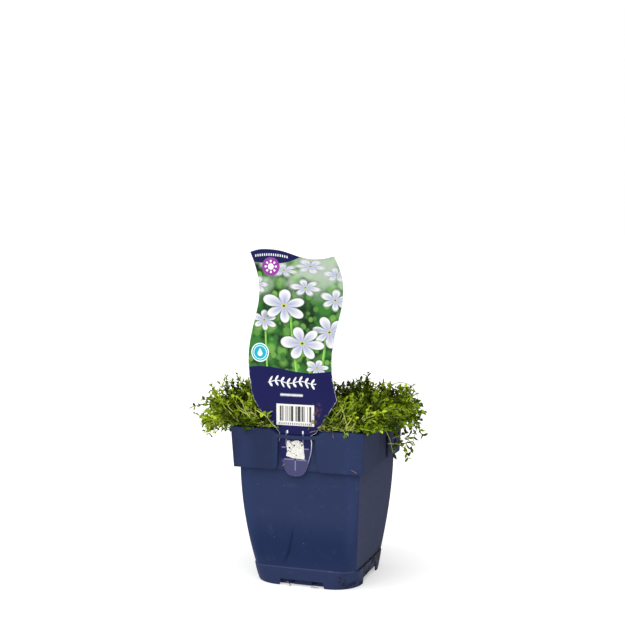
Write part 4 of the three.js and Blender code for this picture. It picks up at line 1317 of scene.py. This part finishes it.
# The shoots that stand clear of the mat: sprigs above it and beside it, trails that hang over the right
# side, tufts at its front, stems that fill its edge, and sprigs on the rim by the label. They grow from
# the same roots. Each is one stem with leaves, along a smooth curve through the points given here.
SHOOT_RADIUS = (0.42, 0.24)
FIRST_SHOOT_SEED = 3000
CLEAR_SHOOTS = {
    "high_sprigs": [
        [(34, 10, 136), (36.2, 8, 144.7), (36.6, 8, 150), (37.1, 8, 155), (37.2, 8, 160.5)],
        [(-84, 28, 128), (-88.5, 26, 136), (-89.5, 25, 141), (-89.9, 25, 145.6), (-90.3, 25, 149.8)],
        [(-68, 24, 130), (-73.3, 20, 138), (-74.6, 20, 142.8), (-76.4, 20, 147.7), (-78.6, 20, 152.6)],
        [(-62, 4, 134), (-62.3, 0, 141), (-61.5, 0, 145), (-60.6, 0, 147.5), (-60.1, 0, 149)],
    ],
    "sprigs_right": [
        [(50, 18, 126), (53.6, 20, 133.6), (61.7, 20, 138.8), (66.5, 20, 145.3), (70.9, 20, 150.7)],
        [(50, 4, 130), (59.1, 0, 139.2), (73.1, -5, 140.6), (78.7, -8, 136.9), (81, -8, 134.8)],
        [(50, 10, 126), (56.3, 10, 132.9), (70.5, 8, 129.2), (77.7, 5, 120.7), (82, 5, 114.1)],
        [(17, 10, 133), (17.5, 10, 140), (18.7, 10, 146), (20.4, 10, 149.5), (22, 10, 152)],
        [(12, 5, 136), (12.5, 5, 142), (13.7, 5, 146), (15.4, 5, 148.5), (17.8, 5, 150)],
        [(50, 20, 134), (50.3, 20, 140), (49.4, 20, 144), (50.2, 20, 148), (52.6, 20, 151.5)],
        [(58, 20, 134), (58.4, 20, 140), (58.4, 20, 143.5), (59.2, 20, 147), (60, 20, 149.5)],
        [(27, 8, 136), (27.6, 8, 143), (30, 8, 148), (32.5, 8, 151), (31.6, 8, 155)],
        [(58, 10, 134), (65.9, 10, 140), (70.7, 10, 142), (73.9, 10, 141), (77.1, 10, 137.9)],
        [(42, 10, 137), (43.3, 10, 143), (44.9, 10, 148), (47.3, 10, 151), (49.8, 10, 153)],
        [(40, 0, 136), (38, 0, 142), (39, 0, 147), (41, 0, 150.5), (42, 0, 153)],
        [(22, 20, 134), (24, 20, 139), (25, 20, 143), (27, 20, 146), (27, 20, 149)],
        [(46, 20, 130), (48.6, 20, 135.8), (51.9, 20, 140.7), (55.1, 20, 144.8), (56.7, 20, 148.8)],
        [(50, 22, 129), (54.6, 22, 134.2), (58.7, 22, 139.2), (61.9, 22, 144.1), (62.7, 22, 148.1)],
        [(55, 20, 130), (61.7, 20, 134.8), (66.5, 20, 139), (69.7, 20, 142.3), (71.3, 20, 145.6)],
        [(45, 15, 134), (48.4, 15, 139.6), (51.6, 15, 144.5), (53.3, 15, 147.8), (54.9, 15, 150.6)],
        [(53, 24, 131), (57.3, 24, 137.2), (59.8, 24, 142.1), (60.5, 24, 146.1), (58.9, 24, 148.8)],
        [(59, 10, 133), (66.7, 10, 138.7), (70.7, 10, 141), (73.1, 10, 143.5), (75.5, 10, 145)],
        [(60, 0, 132), (67, 0, 136.5), (73.9, -2, 138.7), (78.3, -4, 139.2), (80.9, -5, 137.2)],
        [(26, 10, 138), (27, 10, 143), (27.8, 10, 147), (29.4, 10, 149.5), (31, 10, 152)],
    ],
    "sprigs_left": [
        [(-50, -24, 121), (-60.6, -25, 120.3), (-71.2, -28, 122.5), (-83.1, -30, 123.5), (-94.5, -30, 127)],
        [(-46, -38, 122), (-54.2, -40, 125.2), (-62.5, -44, 127.7), (-70, -48, 124.8), (-76.3, -50, 117)],
        [(-74, 8, 123), (-82, 6, 127), (-88, 4, 130), (-92, 2, 131), (-96, 0, 131)],
        [(-84, 18, 124), (-89.9, 15, 129.5), (-93.1, 12, 134.7), (-96.6, 12, 139.5), (-98.4, 12, 143.6)],
        [(-80, 30, 126), (-87.4, 30, 130.8), (-92.8, 30, 135.6), (-96.4, 30, 139.6), (-99.1, 30, 142.9)],
        [(-74, 2, 123), (-80, 0, 125.5), (-87, -2, 126.5), (-92, -4, 125.5), (-95, -5, 124.5)],
        [(-74, 25, 127), (-78.1, 25, 133.6), (-81.6, 25, 138.5), (-84.3, 25, 142.5), (-85.2, 25, 146.7)],
        [(-63, 20, 128), (-65.3, 20, 135), (-67.1, 20, 139.8), (-67.9, 20, 143.9), (-67, 20, 147.3)],
        [(-60, 10, 127), (-57.8, 10, 133.5), (-56, 10, 139.3), (-54.2, 10, 143.4), (-52.5, 10, 146.8)],
        [(-60, -18, 123), (-67.8, -20, 126.1), (-75.5, -22, 128.4), (-82.4, -24, 129.9), (-88, -25, 126.6)],
        [(-52, -33, 125), (-59.7, -35, 124.1), (-66.8, -38, 121.1), (-71.9, -40, 119.5), (-77, -40, 120.8)],
        [(-43, -43, 123), (-48.8, -45, 124), (-54.2, -48, 120.3), (-58.3, -50, 118.9), (-61.2, -51, 120.4)],
        [(-70, 28, 130), (-72, 28, 136), (-72, 28, 141), (-71, 28, 145), (-72, 28, 148)],
        [(-80, 34, 128), (-84, 34, 133), (-87, 34, 138), (-89, 34, 141), (-90, 34, 144)],
    ],
    "trails": [
        [(50, 14, 127), (60, 16, 131), (64.4, 16, 129.2), (66.6, 16, 125), (66.2, 16, 119.9),
         (65.6, 16, 115)],
        [(56, 14, 130), (68.2, 14, 128.2), (72.3, 12, 122.7), (71.7, 12, 117.5), (70.1, 12, 113.4),
         (69.8, 12, 109.5), (68, 12, 106.1), (66.4, 12, 102), (66.5, 12, 98.1), (68.1, 12, 95.6),
         (69.2, 12, 92.6)],
        [(58, 18, 130), (70.3, 18, 126.1), (74.2, 18, 119.2), (73.5, 18, 113.9), (71.9, 18, 108.6),
         (70.9, 18, 104.5), (70, 18, 99.8), (69.3, 18, 96.4)],
        [(60, 8, 136), (72, 5, 139.1), (77.9, 4, 138), (80.9, 3, 135.2), (82.7, 2, 132.5)],
        [(62, 8, 134), (73.7, 5, 134.5), (77.9, 4, 131.8), (80.5, 3, 128.2), (82, 2, 126)],
        [(62, 8, 130), (73.4, 6, 127), (78.2, 6, 121.1), (79.5, 6, 117.3), (81.2, 6, 114.2), (83, 6, 113)],
        [(57.5, -5, 107.6), (60.4, -3, 107.3), (62.9, 5, 105.7), (64.9, 8, 103.3), (67, 10, 101.8)],
        [(58, 6, 110), (60.5, 7, 111), (63.4, 8, 111.8), (65.8, 9, 113), (67.9, 10, 114.3)],
        [(50, -2, 124.5), (55.5, 1.7, 122.6), (57, 7.9, 118.3), (57, 13.8, 114.7), (57, 15.3, 111.4)],
        [(50, 10, 124.5), (55.5, 6.7, 123.6), (57.5, 10, 119.3), (58, 14, 116), (58, 16, 113.4)],
    ],
    "bare_trail": [
        [(50, -16, 124.5), (55.6, -12.4, 124), (56, -6.3, 118.2), (56, 0.9, 112.5), (56, 8.2, 106),
         (56, 11.8, 100), (55.8, 16.6, 95.6)],
    ],
    "front_tufts": [
        [(-58, -10, 128), (-60, -10, 135), (-61, -9, 141), (-62, -8, 145)],
        [(-50, -14, 128), (-52, -14, 136), (-53, -14, 141), (-54, -14, 145)],
        [(-64, -6, 128), (-69, -6, 135), (-71, -6, 140), (-72, -6, 143)],
        [(-46, -6, 130), (-47, -6, 138), (-48, -6, 143), (-47, -6, 147)],
        [(-66, 8, 130), (-68, 8, 138), (-69, 8, 143), (-70, 8, 146)],
        [(36, -15, 130), (37, -15, 137), (38, -15, 142), (39, -14, 146)],
        [(44, -12, 130), (46, -12, 137), (47, -12, 142), (48, -12, 146)],
        [(30, -18, 129), (31, -18, 136), (32, -18, 141), (33, -18, 145)],
        [(52, -8, 130), (54, -8, 136), (56, -8, 141), (58, -8, 144)],
        [(40, -28, 128), (42, -28, 134), (44, -28, 139), (46, -28, 142)],
        [(50, -24, 128), (53, -24, 133), (56, -24, 137), (59, -24, 139)],
    ],
    "edge_fill": [
        [(8.6, 8, 132.3), (9, 8, 140.3), (9.8, 8, 146.7), (10.2, 8, 151.5)],
        [(11.1, 8, 130), (11.5, 8, 138), (12.3, 8, 144.4), (12.7, 8, 149.2)],
        [(35, 8, 135.6), (35.4, 8, 143.5), (36.2, 8, 149.9), (36.6, 8, 154.6)],
        [(38.3, 8, 133.8), (38.6, 8, 141.7), (39.4, 8, 148.1), (39.8, 8, 152.8)],
        [(42.3, 8, 132.4), (42.7, 8, 140.3), (43.5, 8, 146.7), (43.9, 8, 151.4)],
        [(48, 8, 131.2), (48.4, 8, 139), (49.2, 8, 145.4), (49.5, 8, 150.1)],
        [(51.3, 8, 129.8), (51.6, 8, 137.6), (52.4, 8, 144), (52.8, 8, 148.7)],
        [(60.9, 8, 130.3), (61.3, 8, 138.1), (62, 8, 144.4), (62.4, 8, 149.1)],
        [(66.5, 8, 131.4), (66.9, 8, 139.2), (67.6, 8, 145.5), (68, 8, 150.2)],
        [(-83, -10, 127.8), (-83.8, -10, 135), (-85.1, -10, 140.6), (-85.5, -10, 145.4)],
        [(-80.4, -10, 124.7), (-81.2, -10, 131.9), (-82.5, -10, 137.5), (-82.9, -10, 142.3)],
        [(-76.4, -10, 123.3), (-77.3, -10, 130.5), (-78.5, -10, 136.1), (-79, -10, 140.9)],
        [(-72, -30, 131.1), (-78.5, -30, 128.3), (-82.7, -30, 126.5), (-86, -30, 124.2)],
        [(-72, -30, 128.2), (-79.4, -30, 124.2), (-82.8, -30, 122.4), (-86, -30, 121)],
        [(-72.9, -30, 125.8), (-78.2, -30, 121.6), (-80.8, -30, 118.6), (-82.6, -30, 115.6)],
    ],
    "rim_sprigs": [
        [(26, -46, 121), (31.7, -50, 127.9), (35.8, -53, 126), (38.7, -55.2, 122.8), (40, -55.6, 120)],
        [(-33.5, -50, 135.6), (-28.1, -53.5, 134.1), (-23, -54, 131.5), (-19.8, -54, 127.1),
         (-14, -54, 122.6)],
        [(-30, -51, 123), (-26.7, -53, 125), (-23.9, -54, 128.4), (-22.4, -54.5, 131.6), (-22, -54.5, 135)],
        [(-44, -46, 124), (-38, -50, 129), (-34, -53, 130), (-30, -54, 127), (-27, -55, 123.6)],
        [(31, -47, 124), (28, -50, 128.3), (26.5, -53.2, 131.8), (24.7, -53.6, 133.6), (23.4, -53.6, 135)],
        [(17.1, -53, 125.3), (20, -53.2, 127), (23.5, -53.5, 128.7), (30.4, -53, 126), (38.1, -53, 125)],
        [(44, -46, 121), (48, -47, 125), (53, -48, 127), (57, -46, 126.5), (60, -42, 125)],
        [(-50, -48, 124), (-46, -51, 127), (-42, -53.5, 127), (-40, -54.5, 124.5), (-39, -55, 121)],
    ],
}
# How each group grows: copies of each shoot, the share that is bare, the range of tints, the leaves'
# spacing and size, and how much the mat's shade tells on it
HABITS = {
    "high_sprigs": (0, (0.1, 0.2), (0, 0.4), 1.25, (5.0, 0.24), 1),
    "sprigs_right": (2, (0.1, 0.2), (0.15, 0.9), 1.6, (5.0, 0.26), 1),
    "sprigs_left": (2, (0.1, 0.2), (0.1, 0.8), 1.6, (5.2, 0.26), 1),
    "trails": (0, (0.1, 0.2), (0.1, 0.8), 1.9, (6.2, 0.27), 1),
    "bare_trail": (0, (0.75, 0.76), (0.4, 0.5), 4.0, (7.5, 0.2), 0),
    "front_tufts": (2, (0.1, 0.2), (0.4, 1), 1.7, (5.6, 0.29), 0.5),
    "edge_fill": (2, (0.1, 0.2), (0.25, 1.0), 1.4, (5.6, 0.30), 0.5),
    "rim_sprigs": (0, (0.1, 0.2), (0.3, 1), 2.4, (5.6, 0.28), 1),
}


def follow(points):
    """STEPS + 1 points, evenly spaced along the smooth curve through these."""
    curve = smooth_curve(points)
    way = np.append(0, np.cumsum(np.linalg.norm(np.diff(curve, axis=0), axis=1)))
    even = np.linspace(0, way[-1], STEPS + 1)
    return np.stack([np.interp(even, way, curve[:, k]) for k in range(3)], -1)


def bundle(rng, paths, copies):
    """The paths with copies of each, drawn aside by up to some 5 mm and ending a little short of it."""
    more = np.repeat(paths, copies, axis=0)
    way = np.linspace(0, 1, STEPS + 1)[None, :, None]
    short = more[:, :1] + (more - more[:, :1]) * rng.uniform(0.6, 0.95, (len(more), 1, 1))
    aside = rng.normal(0, 2.4, (len(more), 1, 3)) + rng.normal(0, 1.5, (len(more), 1, 3)) * way
    return np.concatenate([paths, short + aside])


for number, (name, curves) in enumerate(CLEAR_SHOOTS.items()):
    rng = np.random.default_rng(FIRST_SHOOT_SEED + number)
    copies, bare, tints, spacing, leaf, shaded = HABITS[name]
    paths = np.array([follow(points) for points in curves])
    paths = keep_clear(bundle(rng, paths, copies), 0.4)
    shoots = plant_mesh(name, rng, paths, bare, spacing, tints, SHOOT_RADIUS, leaf, shaded=shaded)
    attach(shoots, "root")

# Dry stems and roots: a thin brown stem arching out of the mat at the right, a curled root and two
# root hairs over the rim, a dead stem along the rim by the label, and fallen bits on pot and foot.
DRY_STEMS = [
    [(44, 32, 142), (52, 30, 148.6), (57.8, 28, 150.6), (65, 25, 150.2), (70.8, 22, 146.6),
     (74.5, 20, 141)],
    [(50, -30, 123.8), (53.5, -30, 124.6), (56, -30, 123.6), (57, -30, 121.6), (55.6, -30, 120)],
    [(10.8, -53.4, 121.6), (12.5, -53.8, 122.3), (14.2, -53.4, 122.7), (16, -52.8, 123.3),
     (18, -51, 124.2)],
    [(43, -52.5, 95.6), (43.8, -52.6, 94.6), (44.8, -52.7, 94.5), (46.2, -52.6, 93.6),
     (47.3, -52.6, 93.2)],
    [(-12, -42.6, 2.6), (-10.8, -43, 3.4), (-9.4, -43.2, 2.2), (-8.2, -43, 0.9), (-9.8, -42.8, 0.6)],
    [(8, -42.6, 0.7), (9.5, -43, 1.4), (11, -43.2, 0.8), (12.5, -43, 1.2), (14, -42.8, 0.6)],
    [(-11.4, -52.2, 94.7), (-10.9, -52.4, 95.1), (-10.3, -52.3, 95.7), (-9.6, -52.4, 96.2),
     (-9.0, -52.2, 96.8)],
]
ROOT_HAIRS = [
    [(28, -52, 123.6), (29.1, -54.5, 122.9), (29.4, -54.8, 121.6), (29.3, -54.8, 120.2),
     (29.9, -54.8, 118.6)],
    [(17, -52.4, 124), (20, -53.4, 123.1), (23, -53.2, 123.5), (26.5, -53.4, 123.1), (29, -52, 123.9)],
]

dry_brown, shader, place = start_material("dry_brown", Roughness=0.8, Specular_IOR_Level=0.1)
fibre = noise(place, 0.5, 4)
paint = blend(rise(fibre, 0.35, 0.65), (0.07, 0.053, 0.043), (0.25, 0.205, 0.170))
wire(shader, Base_Color=paint, Normal=bump(fibre, 0.4, 0.0003))

for name, curves, radius, seed in (
    ("dry_stems", DRY_STEMS, (0.34, 0.2), 3100),
    ("root_hairs", ROOT_HAIRS, (0.2, 0.14), 3101),
):
    paths = np.array([follow(points) for points in curves])
    stems = plant_mesh(name, np.random.default_rng(seed), paths, spacing=0, radius=radius, bark=dry_brown)
    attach(stems, "root")

# The clods: small crumbs of the wet peat that fell when the pot was filled. They cling to the foot of
# its right side, most of them on the foot's ledge.
CLODS = 90
CLOD_RINGS = [54, 18, -18, -54]
CLOD_SIDES = 6
CLOD_SEED = 41


def clod_points(rng, count):
    """Each clod is a small ball of four rings and two poles, its radius drawn for each point, squeezed
    towards the pot and drawn out along it. Seven in ten lie on the foot's ledge. The rest are at drawn
    heights on the foot's face, nearer its middle."""
    back = rng.uniform(-29, 25, count)
    rings = np.radians(CLOD_RINGS)[:, None]
    turn = np.linspace(0, math.tau, CLOD_SIDES, endpoint=False)[None, :]
    flat = np.cos(rings)
    ball = np.stack([flat * np.cos(turn), flat * np.sin(turn), np.sin(rings) + 0 * turn], -1)
    ball = np.concatenate([ball.reshape(-1, 3), [(0, 0, 1), (0, 0, -1)]])
    size = rng.uniform(0.25, 0.65, (count, 1, 1)) * rng.uniform(0.75, 1.2, (count, len(ball), 1))
    height = np.where(rng.uniform(0, 1, count) < 0.7, FOOT_Z + 0.3, rng.uniform(5.5, 13, count))
    back = np.where(height < FOOT_Z, back * 0.65, back)
    middle = np.stack([foot_half(height) + 0.1, back, height], -1)
    return middle[:, None] + ball[None] * size * (0.45, 1.5, 0.8)


earth = clod_points(np.random.default_rng(CLOD_SEED), CLODS)
clod_faces = [repeat_faces(f, CLODS, earth.shape[1]) for f in tube_faces(len(CLOD_RINGS), CLOD_SIDES)]

wet_peat, shader, place = start_material("wet_peat", Roughness=0.75, Specular_IOR_Level=0.15)
lumps = noise(place, 0.6, 5, 0.7)
paint = blend(rise(lumps, 0.35, 0.7), (0.0030, 0.0030, 0.0050), (0.013, 0.010, 0.013))
wire(shader, Base_Color=paint, Normal=bump(lumps, 0.7, 0.0006))

clods = place_mesh(build_mesh("peat_clods", earth.reshape(-1, 3), clod_faces, 60), wet_peat)
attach(clods, "root")
